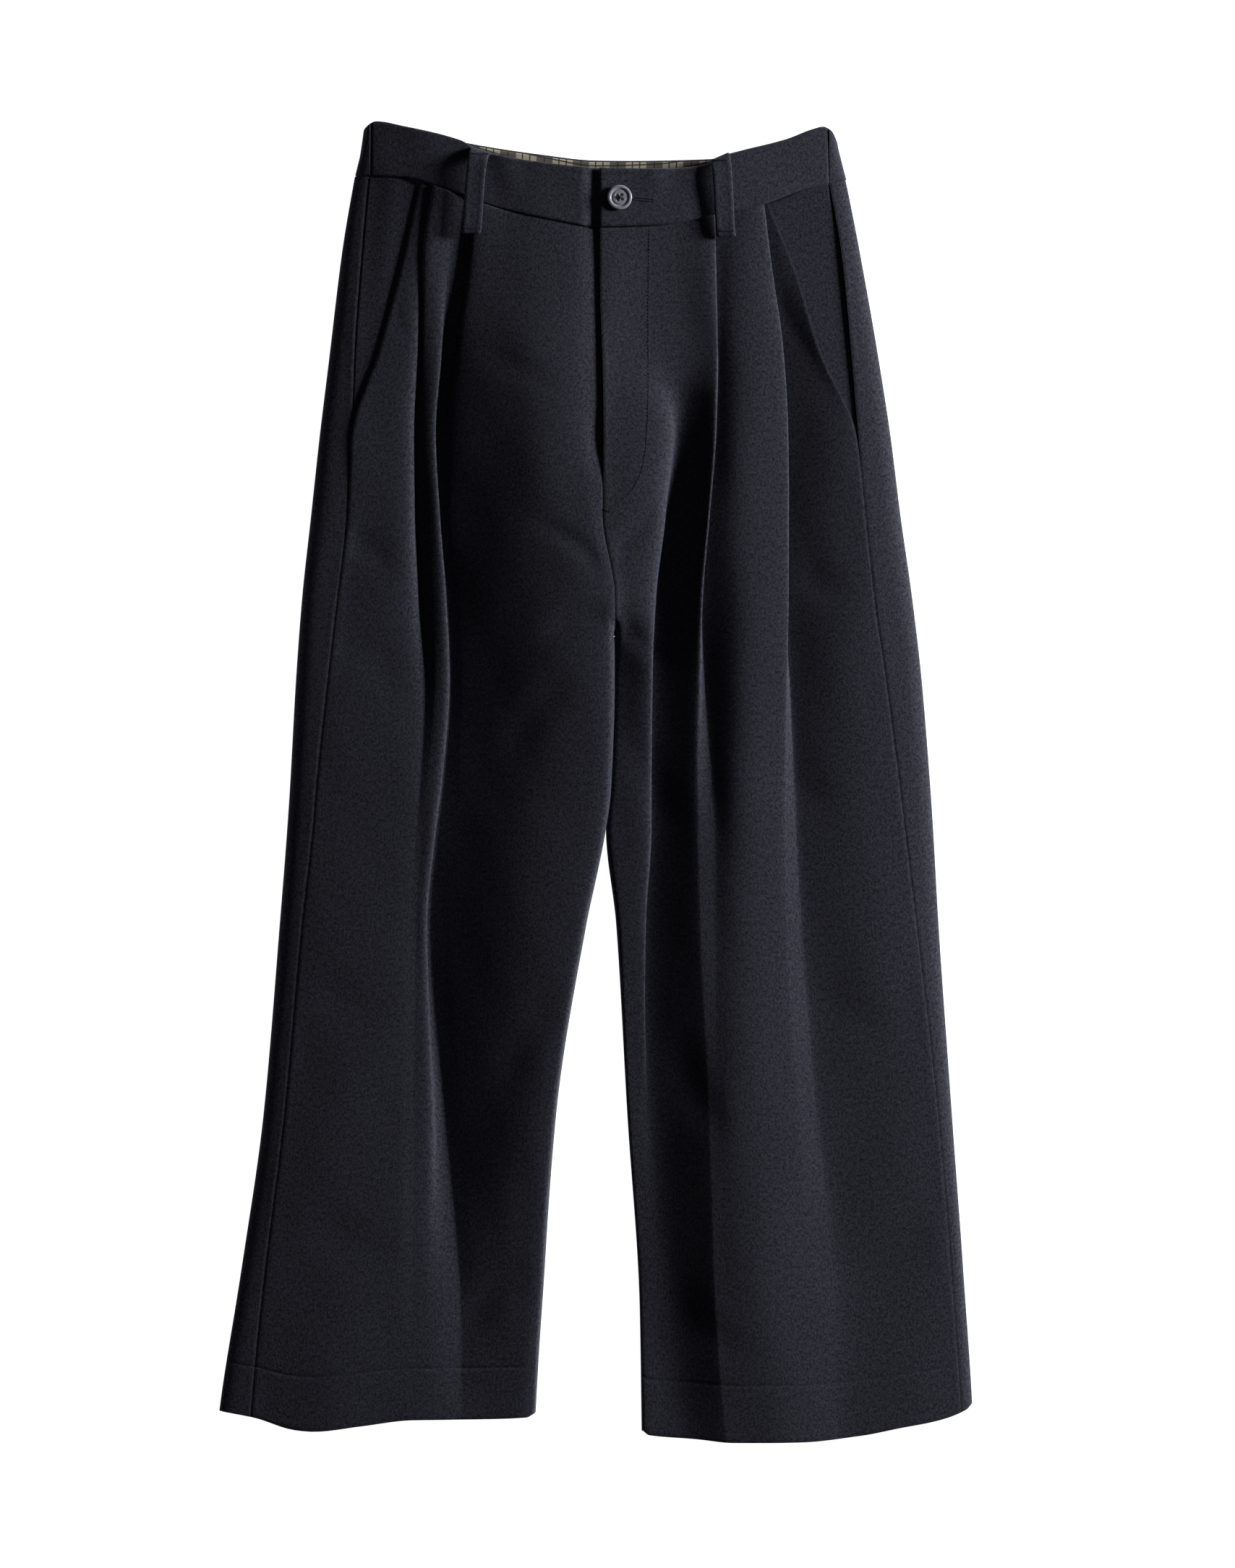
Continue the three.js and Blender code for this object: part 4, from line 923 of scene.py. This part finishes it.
def loop_solid(name, x, y, z, replaced, slant=0.0, lean=0.0):
    """Carries the loop's cross-section along a path: two stitched ridges with a hollow between them.

    slant and lean are the slopes across the strip at its upper end. They fade out towards the lower end.
    """
    path_x, path_y, path_z = (np.asarray(v, float)[:, None] for v in (x, y, z))
    u = ACROSS_LOOP[None, :]
    aside = u * LOOP_WIDTH / 2
    fading = np.linspace(1, 0, len(path_x))[:, None]
    aside = aside * (1 - 0.2 * ramp(1 - fading, 0.94, 1) ** 2)
    ridges = 0.16 * dent(np.abs(u) - 0.66, 0.16) - 0.1
    tilt = aside * fading
    grid = to_frame(path_x + aside, path_y + slant * tilt, path_z + ridges + lean * tilt)
    thick = np.broadcast_to(rounded_edges((u + 1) / 2, LOOP_WIDTH, LOOP_CLOTH) * MM, grid.shape[:2])
    piece = cloth_solid(name, grid[::-1], thick, thick, replaced)
    return piece


def slope_at(table, what, x):
    """Rise of a line across the loop's width at x, in millimetres for each millimetre."""
    half = LOOP_WIDTH / 2
    return float(reading(table, x + half, what) - reading(table, x - half, what)) / LOOP_WIDTH


def front_loop_path(side):
    """Smooth path of a front loop: from the band's edge, off the band, down onto the panel."""
    top_x, low_x = FRONT_LOOPS[side]
    top, seam = float(reading(BAND_TOP_FRONT, top_x)), float(reading(WAIST_SEAM, low_x))
    end = LOOP_END[side]
    lying = float(reading(FRONT_BAND[side], top_x, "z")) + (BAND_CLOTH + LOOP_CLOTH) / 2
    controls = np.array([[
        (top - 0.8, lying - 1.7),
        (top - 0.2, lying - 0.9),
        (top - 1.6, lying + 0.5),
        (top - 5, lying + LOOP_GAP),
        (mix(top, seam, 0.35), lying + LOOP_GAP + 0.7),
        (mix(top, seam, 0.8), lying + LOOP_GAP + 0.2),
        (end + 5, lying + 0.95 * LOOP_GAP),
        (end + 1, lying + 0.75 * LOOP_GAP),
        (end, lying + 0.4 * LOOP_GAP),
    ]])
    line = section(controls, *stations([3, 4, 5, 8, 8, 8, 5, 5]))[0]
    down = np.linspace(0, 1, len(line))
    return mix(top_x, low_x, down), line[:, 0], line[:, 1]


loops = {}
for side, (top_x, low_x) in FRONT_LOOPS.items():
    slopes = slope_at(BAND_TOP_FRONT, "y", top_x), slope_at(FRONT_BAND[side], "z", top_x)
    name = f"loop_front_{side}"
    loops[side] = loop_solid(f"{name}_cloth", *front_loop_path(side), [name], *slopes)
for place, spot in BACK_LOOPS.items():
    high = float(reading(BAND_TOP_BACK, spot)) - BACK_LOOP_ENDS[0]
    low = float(reading(WAIST_SEAM, spot)) - BACK_LOOP_ENDS[1]
    y = np.linspace(high, low, 24)
    name = f"loop_back_{place}"
    loop_solid(f"{name}_cloth", spot + 0 * y, y, LOOP_CLOTH / 2 + 0 * y, [name])
print("belt loops:", len(FRONT_LOOPS) + len(BACK_LOOPS))

# %% [markdown]
# The button is turned from horn: a disc with a raised rim, a hollow face and four sewing holes. One grid
# of rings and spokes gives it, closed at its two poles, and the holes are deep pits in that grid. Its
# thread crosses over the hollow from hole to hole.

# %% Button
BUTTON_SPOT = (16.7, 911.4, 21.2)  # x, y and z of the middle of its underside
HOLE_RADIUS = 1.1
HOLE_DEPTH = 1.25
HOLE_PLACE = 2.1  # distance of the holes from the button's axis
HOLE_TURN = 53  # direction of the first hole, in degrees
BUTTON_PROFILE = [
    # distance from the axis, height
    (0.02, 1.75), (0.6, 1.75), (1.1, 1.75), (1.6, 1.75), (2.1, 1.75), (2.6, 1.75),
    (3.2, 1.75), (4.2, 1.75), (5.0, 1.7), (5.6, 1.45), (6.1, 1.5), (6.7, 1.95),
    (7.4, 2.15), (8.2, 2.1), (8.7, 1.9), (9, 1.6), (9, 1.2), (8.8, 0.7),
    (8.3, 0.25), (7.6, 0.02), (5, 0), (2.5, 0), (0.02, 0),
]


def on_button(x, y, z):
    """Millimetres from the middle of the button's underside, as metres in the frame."""
    return to_frame(x + BUTTON_SPOT[0], y + BUTTON_SPOT[1], z + BUTTON_SPOT[2])


def button_surface():
    """Rings along the profile by spokes round the axis, with four pits where the thread goes through."""
    profile = np.array(BUTTON_PROFILE)
    steps = np.arange(len(profile))
    fine = np.concatenate([np.linspace(0, 6, 40)[:-1], np.linspace(6, len(profile) - 1, 60)])
    r, h = np.interp(fine, steps, profile[:, 0]), np.interp(fine, steps, profile[:, 1])
    angle = np.linspace(0, 2 * math.pi, 97)[:-1]
    x, y = r[:, None] * np.cos(angle), r[:, None] * np.sin(angle)
    z = h[:, None] + 0 * x
    facing_up = (fine < 7)[:, None]
    for hole_x, hole_y in HOLES:
        away = np.hypot(x - hole_x, y - hole_y)
        z = z - facing_up * HOLE_DEPTH * (1 - ramp(away, HOLE_RADIUS * 0.75, HOLE_RADIUS * 1.15))
    return on_button(x, y, z)


def turned_solid(rings):
    """Vertices and faces of a closed turned solid: quads between rings, and a fan round each pole."""
    rows, spokes = rings.shape[:2]
    i, j = np.meshgrid(np.arange(rows - 1), np.arange(spokes), indexing="ij")
    here, ahead = i * spokes + j, i * spokes + (j + 1) % spokes
    quads = np.stack([here, ahead, ahead + spokes, here + spokes], axis=-1).reshape(-1, 4)
    pole, first = rows * spokes + 0 * here[0], here[0]
    last = first + (rows - 1) * spokes
    fans = [(pole, ahead[0], first, first), (pole + 1, last, ahead[-1] + spokes, ahead[-1] + spokes)]
    fans = [np.stack(fan, axis=1) for fan in fans]
    vertices = np.concatenate([rings.reshape(-1, 3), [rings[0].mean(0), rings[-1].mean(0)]])
    faces = flip_if_inside_out(vertices, np.concatenate([quads, *fans]))
    return vertices, [tuple(dict.fromkeys(face)) for face in faces.tolist()]


HOLES = [
    (HOLE_PLACE * math.cos(turn), HOLE_PLACE * math.sin(turn))
    for turn in (math.radians(HOLE_TURN + 90 * quarter) for quarter in range(4))
]
button = mesh_piece("button_turned", *turned_solid(button_surface()), "horn", ["button"])
print("button", 2 * max(r for r, _ in BUTTON_PROFILE), "mm across,", len(button.data.polygons), "faces")

# %% [markdown]
# Sewing is made of short real stitches: small rounded bars that follow the cloth. A ray sent straight
# down finds the cloth's height at each point of the stitching line, and one function lays a bar along
# each pair of points.

# %% Helpers for stitches
RAY_START = 0.2  # height over the surface, in metres, from which the rays go down
DOWN = Vector((0, 0, -1))
BAR_PLACE = np.array([0.0, 0.12, 0.5, 0.88, 1.0])  # rings along a bar
BAR_SIZE = np.array([0.35, 0.8, 1.0, 0.8, 0.35])  # their radii, as shares
BAR_ARCH = np.array([-0.5, 0.1, 0.35, 0.1, -0.5])  # how high they lie, in radii
BAR_SIDES = 6


def surface_below(*pieces):
    """A function that gives the height of the highest of the pieces under a point, in metres, or None."""
    meshes = [piece.data for piece in pieces]
    trees = [
        BVHTree.FromPolygons([v.co for v in mesh.vertices], [p.vertices[:] for p in mesh.polygons])
        for mesh in meshes
    ]

    def height(x, y):
        hits = [tree.ray_cast(Vector((x, y, RAY_START)), DOWN)[0] for tree in trees]
        found = [hit.z for hit in hits if hit is not None]
        return max(found) if found else None

    return height


def bars(name, starts, ends, radius):
    """Rounded bars from starts to ends: rings of six points, wide in the middle and small at the ends."""
    starts, ends = np.asarray(starts, float), np.asarray(ends, float)
    forward = ends - starts
    forward /= np.linalg.norm(forward, axis=1, keepdims=True)
    side = np.cross(forward, [0, 0, 1.0])
    side /= np.maximum(np.linalg.norm(side, axis=1, keepdims=True), 1e-9)
    up = np.cross(side, forward)
    angle = (np.arange(BAR_SIDES) * math.pi / 3)[:, None]
    middle = starts[:, None] + (ends - starts)[:, None] * BAR_PLACE[:, None]
    middle = middle + up[:, None] * (BAR_ARCH * radius)[:, None]
    spread = np.cos(angle) * side[:, None, None] + np.sin(angle) * up[:, None, None]
    vertices = (middle[:, :, None] + spread * (BAR_SIZE * radius)[:, None, None]).reshape(-1, 3)
    one = len(BAR_PLACE) * BAR_SIDES
    counts = (len(starts), len(BAR_PLACE) - 1, BAR_SIDES)
    bar, ring, a = np.meshgrid(*map(np.arange, counts), indexing="ij")
    here = bar * one + ring * BAR_SIDES + a
    ahead = bar * one + ring * BAR_SIDES + (a + 1) % BAR_SIDES
    quads = np.stack([here, ahead, ahead + BAR_SIDES, here + BAR_SIDES], axis=-1).reshape(-1, 4)
    bases, around = np.arange(len(starts))[:, None] * one, np.arange(BAR_SIDES)
    caps = np.concatenate([bases + around[::-1], bases + one - BAR_SIDES + around])
    faces = quads.tolist() + caps.tolist()
    if is_inside_out(vertices, quads):
        faces = [face[::-1] for face in faces]
    return mesh_piece(name, vertices, faces)


def spaced(path, pitch):
    """Points at even distances along a path of (x, y) points smoothed by a cubic B-spline."""
    smooth = section(np.array([path], float), *stations([24] * (len(path) - 1)))[0]
    run = np.concatenate([[0], np.cumsum(np.linalg.norm(np.diff(smooth, axis=0), axis=1))])
    marks = np.arange(0, run[-1], pitch)
    return np.stack([np.interp(marks, run, smooth[:, k]) for k in (0, 1)], axis=1)


def stitched(name, path, below, pitch=2.6, length=1.9, radius=0.22, lift=0.05):
    """One bar for each stitch of a line sewn along path, laid on the cloth that below finds."""
    starts, ends = [], []
    marks, share = spaced(path, pitch), length / pitch
    for (x0, y0), (x1, y1) in zip(marks[:-1], marks[1:]):
        pair = [to_frame(x0, y0, 0), to_frame(mix(x0, x1, share), mix(y0, y1, share), 0)]
        heights = [below(p[0], p[1]) for p in pair]
        if None in heights:
            continue
        for p, z, store in zip(pair, heights, (starts, ends)):
            store.append((p[0], p[1], z + lift * MM))
    print(name, len(starts), "stitches")
    return bars(name, starts, ends, radius * MM)


def bartack(name, start, end, below, width=1.8, pitch=0.42, radius=0.2, lift=0.1):
    """A dense bar of stitches across the line from start to end, as sewn where a seam takes a pull."""
    (x0, y0), (x1, y1) = start, end
    run = math.hypot(x1 - x0, y1 - y0)
    across = np.array([-(y1 - y0), x1 - x0]) / run * width / 2
    starts, ends = [], []
    for share in np.linspace(0, 1, int(run / pitch)):
        x, y = mix(x0, x1, share), mix(y0, y1, share)
        pair = [to_frame(x - across[0], y - across[1], 0), to_frame(x + across[0], y + across[1], 0)]
        heights = [below(p[0], p[1]) for p in pair]
        if None in heights:
            continue
        for p, store in zip(pair, (starts, ends)):
            store.append((p[0], p[1], max(heights) + lift * MM))
    return bars(name, starts, ends, radius * MM)


# %% [markdown]
# The fly is topstitched in a long J, from the waistband down to the bar tack at the fly's end. The
# buttonhole, a slit bound with close stitches, shows beside the button. Each loop is tacked at both
# ends.

# %% Stitching
FLY_STITCH = [(38.9, 888), (37.4, 838.5), (38.2, 770), (36.6, 720), (28.5, 699), (16, 687), (5, 681)]
BUTTONHOLE = ((20, 911.6), (41, 909.5))

LOOP_TACKS = {"low": (5, 4), "top": (5.5, -3)}  # half a tack's width, and its place from the loop's end
SLIT_REACH, ROUND_REACH, BOUND_REACH = 0.35, 0.3, 1.5  # where the buttonhole's stitches begin and end
THREAD_SHIFT = (0.22, 0.1)  # from the middle of a hole to each of the two strands through it
THREAD_HEIGHTS = (1.9, 2.15)  # of the lower pair of strands and of the pair that crosses it


def buttonhole(start, end, below):
    """Close stitches fanned round a slit: along both its sides and round the end at its second point."""
    (x0, y0), (x1, y1) = start, end
    length = math.hypot(x1 - x0, y1 - y0)
    ux, uy = (x1 - x0) / length, (y1 - y0) / length
    spots = [
        (x0 + ux * run, y0 + uy * run, -uy * side, ux * side, SLIT_REACH)
        for side in (-1, 1)
        for run in np.arange(0, length, 0.5)
    ]
    for angle in np.linspace(-1.4, 1.4, 9):
        cos, sin = math.cos(angle), math.sin(angle)
        spots.append((x1, y1, cos * ux - sin * uy, sin * ux + cos * uy, ROUND_REACH))
    starts, ends = [], []
    for x, y, away_x, away_y, near in spots:
        for reach, store in ((near, starts), (BOUND_REACH, ends)):
            p = to_frame(x + away_x * reach, y + away_y * reach, 0)
            store.append((p[0], p[1], below(p[0], p[1]) + 0.08 * MM))
    return bars("buttonhole_stitching", starts, ends, 0.26 * MM)


on_fly = surface_below(fronts["left"])
stitched("fly_stitching", FLY_STITCH, on_fly)
bartack("fly_bartack", (2.6, 684.5), (9.5, 682), on_fly)
for side, (top_x, low_x) in FRONT_LOOPS.items():
    on_loop = surface_below(loops[side], fronts[side])
    ends = {"low": (low_x, LOOP_END[side]), "top": (top_x, float(reading(BAND_TOP_FRONT, top_x)))}
    for part, (half, shift) in LOOP_TACKS.items():
        x, y = ends[part]
        bartack(f"loop_tack_{part}_{side}", (x - half, y + shift), (x + half, y + shift), on_loop)
buttonhole(*BUTTONHOLE, surface_below(bands["front_left"]))

thread_ends = [[], []]
for hole, height in enumerate(THREAD_HEIGHTS):
    for sign in (1, -1):
        for (x, y), store in zip((HOLES[hole], HOLES[hole + 2]), thread_ends):
            store.append(on_button(x + sign * THREAD_SHIFT[0], y + sign * THREAD_SHIFT[1], height))
bars("button_thread", *thread_ends, 0.3 * MM)
print("thread strands:", len(thread_ends[0]))

# %% [markdown]
# The cloth is a dark navy wool flannel: matt, slightly heathered, with a nap that catches low light. Its
# colour mixes two dark blues by a fine noise, stretched along the warp, and a bump gives the twill and
# the fuzz. The noises read the cloth's own UV map, which is in metres, so the weave follows every fold. A
# sheen stands for the nap.

# %% Wool
def principled(name, roughness):
    """A material and its Principled shader."""
    material = bpy.data.materials.new(name)
    material.use_nodes = True
    shader = material.node_tree.nodes["Principled BSDF"]
    shader.inputs["Roughness"].default_value = roughness
    return material, shader


def set_inputs(material, node, **inputs):
    """Sets a node's inputs or links them to outputs. In a key _ is a space, and i2 is the third input."""
    for key, value in inputs.items():
        socket = node.inputs[int(key[1:]) if key[1:].isdigit() else key.replace("_", " ")]
        if isinstance(value, bpy.types.NodeSocket):
            material.node_tree.links.new(value, socket)
        else:
            socket.default_value = value


def add_node(material, kind, settings=None, **inputs):
    """Adds a node, sets its properties and gives its inputs."""
    node = material.node_tree.nodes.new(kind)
    for key, value in (settings or {}).items():
        setattr(node, key, value)
    set_inputs(material, node, **inputs)
    return node


def calculated(material, operation, *values):
    """Output of a math node with these values, each a number or another node's output."""
    inputs = {f"i{k}": value for k, value in enumerate(values)}
    return add_node(material, "ShaderNodeMath", {"operation": operation}, **inputs).outputs[0]


def mixed(material, factor, dark, light):
    """Colour between dark, where the factor is 0, and light, where it is 1."""
    settings = {"data_type": "RGBA"}
    return add_node(material, "ShaderNodeMix", settings, i0=factor, i6=dark, i7=light).outputs[2]


WOOL_DARK = (0.0085, 0.0085, 0.0135, 1)
WOOL_LIGHT = (0.052, 0.052, 0.075, 1)
NAP_COLOUR = (0.7, 0.75, 0.9, 1)
TWILL_TURN = math.radians(28)  # angle of the twill's ribs


def wool_material(name, coordinates="UV"):
    """Heathered flannel: fine fibre noise for the colour, and twill ribs plus fuzz for the bump."""
    wool, shader = principled(name, 0.9)
    where = add_node(wool, "ShaderNodeTexCoord").outputs[coordinates]
    stretched = add_node(wool, "ShaderNodeMapping", Vector=where, Scale=(1, 0.7, 1)).outputs["Vector"]
    fibres = add_node(wool, "ShaderNodeTexNoise", Vector=stretched, Scale=760, Detail=3, Roughness=0.85)
    clouds = add_node(wool, "ShaderNodeTexNoise", Vector=stretched, Scale=380, Detail=2, Roughness=0.6)
    slubs = calculated(wool, "MULTIPLY_ADD", clouds.outputs[0], 0.4, -0.2)
    blend = calculated(wool, "ADD", fibres.outputs[0], slubs)
    spread = add_node(wool, "ShaderNodeMapRange", Value=blend, From_Min=0.35, From_Max=0.66)
    turned = add_node(wool, "ShaderNodeMapping", Vector=where, Rotation=(0, 0, TWILL_TURN)).outputs[0]
    settings = dict(Scale=420, Distortion=3, Detail=2, Detail_Scale=2)
    twill = add_node(wool, "ShaderNodeTexWave", Vector=turned, **settings).outputs[1]
    relief = calculated(wool, "MULTIPLY_ADD", twill, 0.3, fibres.outputs[0])
    bump = add_node(wool, "ShaderNodeBump", Height=relief, Strength=0.45, Distance=0.00035)
    colour = mixed(wool, spread.outputs[0], WOOL_DARK, WOOL_LIGHT)
    set_inputs(wool, shader, Base_Color=colour, Normal=bump.outputs[0], Specular_IOR_Level=0.18)
    set_inputs(wool, shader, Sheen_Weight=0.12, Sheen_Roughness=0.5, Sheen_Tint=NAP_COLOUR)
    return wool


wool = wool_material("wool")
print("wool is ready:", len(wool.node_tree.nodes), "nodes")

# %% [markdown]
# The lining's check is woven from undyed, sand and grey stripes with thin dark lines, the same along and
# across. Each set of stripes is a threshold on the fraction of the distance divided by the repeat, and
# the two directions are multiplied, as crossing threads are.

# %% Check
CHECK_REPEAT = 0.027  # metres
CHECK_DARK, CHECK_LIGHT = (0.012, 0.013, 0.016, 1), (0.5, 0.43, 0.32, 1)
CHECK_STRIPES = [
    # start and end within the repeat, and the share of the light that the stripe leaves
    (0.0, 0.44, 0.24),
    (0.2, 0.235, 0.15),
    (0.6, 0.635, 0.06),
    (0.8, 0.835, 0.06),
]


def check_material():
    """Cream cloth darkened by stripes along x and along y."""
    check, shader = principled("check", 0.85)
    where = add_node(check, "ShaderNodeTexCoord").outputs["UV"]
    apart = add_node(check, "ShaderNodeSeparateXYZ", Vector=where)
    shade = 1.0
    for axis in (0, 1):
        repeats = calculated(check, "MULTIPLY", apart.outputs[axis], 1 / CHECK_REPEAT)
        part = calculated(check, "FRACT", repeats)
        for low, high, light in CHECK_STRIPES:
            above = calculated(check, "GREATER_THAN", part, low)
            under = calculated(check, "LESS_THAN", part, high)
            inside = calculated(check, "MULTIPLY", above, under)
            stripe = calculated(check, "MULTIPLY_ADD", inside, light - 1, 1.0)
            shade = calculated(check, "MULTIPLY", shade, stripe)
    threads = add_node(check, "ShaderNodeTexNoise", Vector=where, Scale=1800, Detail=2)
    uneven = add_node(check, "ShaderNodeMapRange", Value=threads.outputs[0], To_Min=0.8, To_Max=1.15)
    shade = calculated(check, "MULTIPLY", shade, uneven.outputs[0])
    bump = add_node(check, "ShaderNodeBump", Height=threads.outputs[0], Strength=0.3, Distance=0.0002)
    colour = mixed(check, shade, CHECK_DARK, CHECK_LIGHT)
    set_inputs(check, shader, Base_Color=colour, Normal=bump.outputs[0])
    return check


check = check_material()
print("check repeats every", CHECK_REPEAT / MM, "mm")

# %% [markdown]
# Horn is smooth and faintly clouded, with a soft gloss. The cloud is a broad noise on the object's own
# coordinates.

# %% Horn
HORN_DARK, HORN_LIGHT = (0.17, 0.178, 0.215, 1), (0.38, 0.395, 0.455, 1)

horn, horn_shader = principled("horn", 0.34)
where = add_node(horn, "ShaderNodeTexCoord").outputs["Object"]
cloud = add_node(horn, "ShaderNodeTexNoise", Vector=where, Scale=140, Detail=4, Distortion=1.2).outputs[0]
bump = add_node(horn, "ShaderNodeBump", Height=cloud, Strength=0.08, Distance=0.0003)
colour = mixed(horn, cloud, HORN_DARK, HORN_LIGHT)
set_inputs(horn, horn_shader, Base_Color=colour, Normal=bump.outputs[0])

thread = wool_material("thread", "Object")
print("horn and thread are ready")

# %% [markdown]
# Every piece now takes its finish: the lining its check, the button its horn, sewing its thread, the rest
# the wool.

# %% Give each piece its material
THREAD_WORDS = ("stitching", "tack", "thread")
for piece in bpy.context.scene.objects:
    if piece.type != "MESH" or "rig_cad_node" in piece:
        continue
    finish = wool
    if piece is lining:
        finish = check
    if piece is button:
        finish = horn
    if any(word in piece.name for word in THREAD_WORDS):
        finish = thread
    piece.data.materials.clear()
    piece.data.materials.append(finish)
meshes = [o.data for o in bpy.context.scene.objects if o.type == "MESH"]
print("finished pieces:", sum(len(mesh.materials) > 0 for mesh in meshes))

# %% [markdown]
# The picture's light comes low from the wearer's left, which is on the right of the picture, so that it
# grazes the folds, with a weak fill from above. The floor is plain and nearly white, and shines a little
# by itself, so that it shows no shadow, as in the photograph. The Standard view shows the colours as they
# are.

# %% Floor and light
FLOOR_WIDTH = 8  # metres
FLOOR_LEVEL = -0.0004  # a hair below the cloth, so that the two never share a plane
FLOOR_COLOUR = (0.9, 0.9, 0.9, 1)
WHITE = (1, 1, 1, 1)
WORLD_STRENGTH = 0.015

half = FLOOR_WIDTH / 2
corners = [(x * half, y * half, FLOOR_LEVEL) for x, y in ((-1, -1), (1, -1), (1, 1), (-1, 1))]
floor_mesh = bpy.data.meshes.new("floor")
floor_mesh.from_pydata(corners, [], [(0, 1, 2, 3)])
floor = add_object("floor", floor_mesh)
floor_paint, floor_shader = principled("floor_paint", 0.9)
set_inputs(floor_paint, floor_shader, Base_Color=FLOOR_COLOUR, Emission_Color=WHITE, Emission_Strength=1)
floor_mesh.materials.append(floor_paint)


def area_light(name, place, size, power):
    """A square area light at place, of a size in metres and a power in watts, that faces the origin."""
    data = bpy.data.lights.new(name, "AREA")
    data.size = size
    data.energy = power
    lamp = add_object(name, data)
    lamp.location = place
    lamp.rotation_euler = (-Vector(place)).to_track_quat("-Z", "Y").to_euler()


area_light("key", (3.1, 1.0, 0.72), 0.7, 210)
area_light("fill", (0.6, 0.2, 3.4), 2.5, 2)
world = bpy.data.worlds.new("world")
world.use_nodes = True
world.node_tree.nodes["Background"].inputs[0].default_value = WHITE
world.node_tree.nodes["Background"].inputs[1].default_value = WORLD_STRENGTH
bpy.context.scene.world = world
bpy.context.scene.view_settings.view_transform = "Standard"
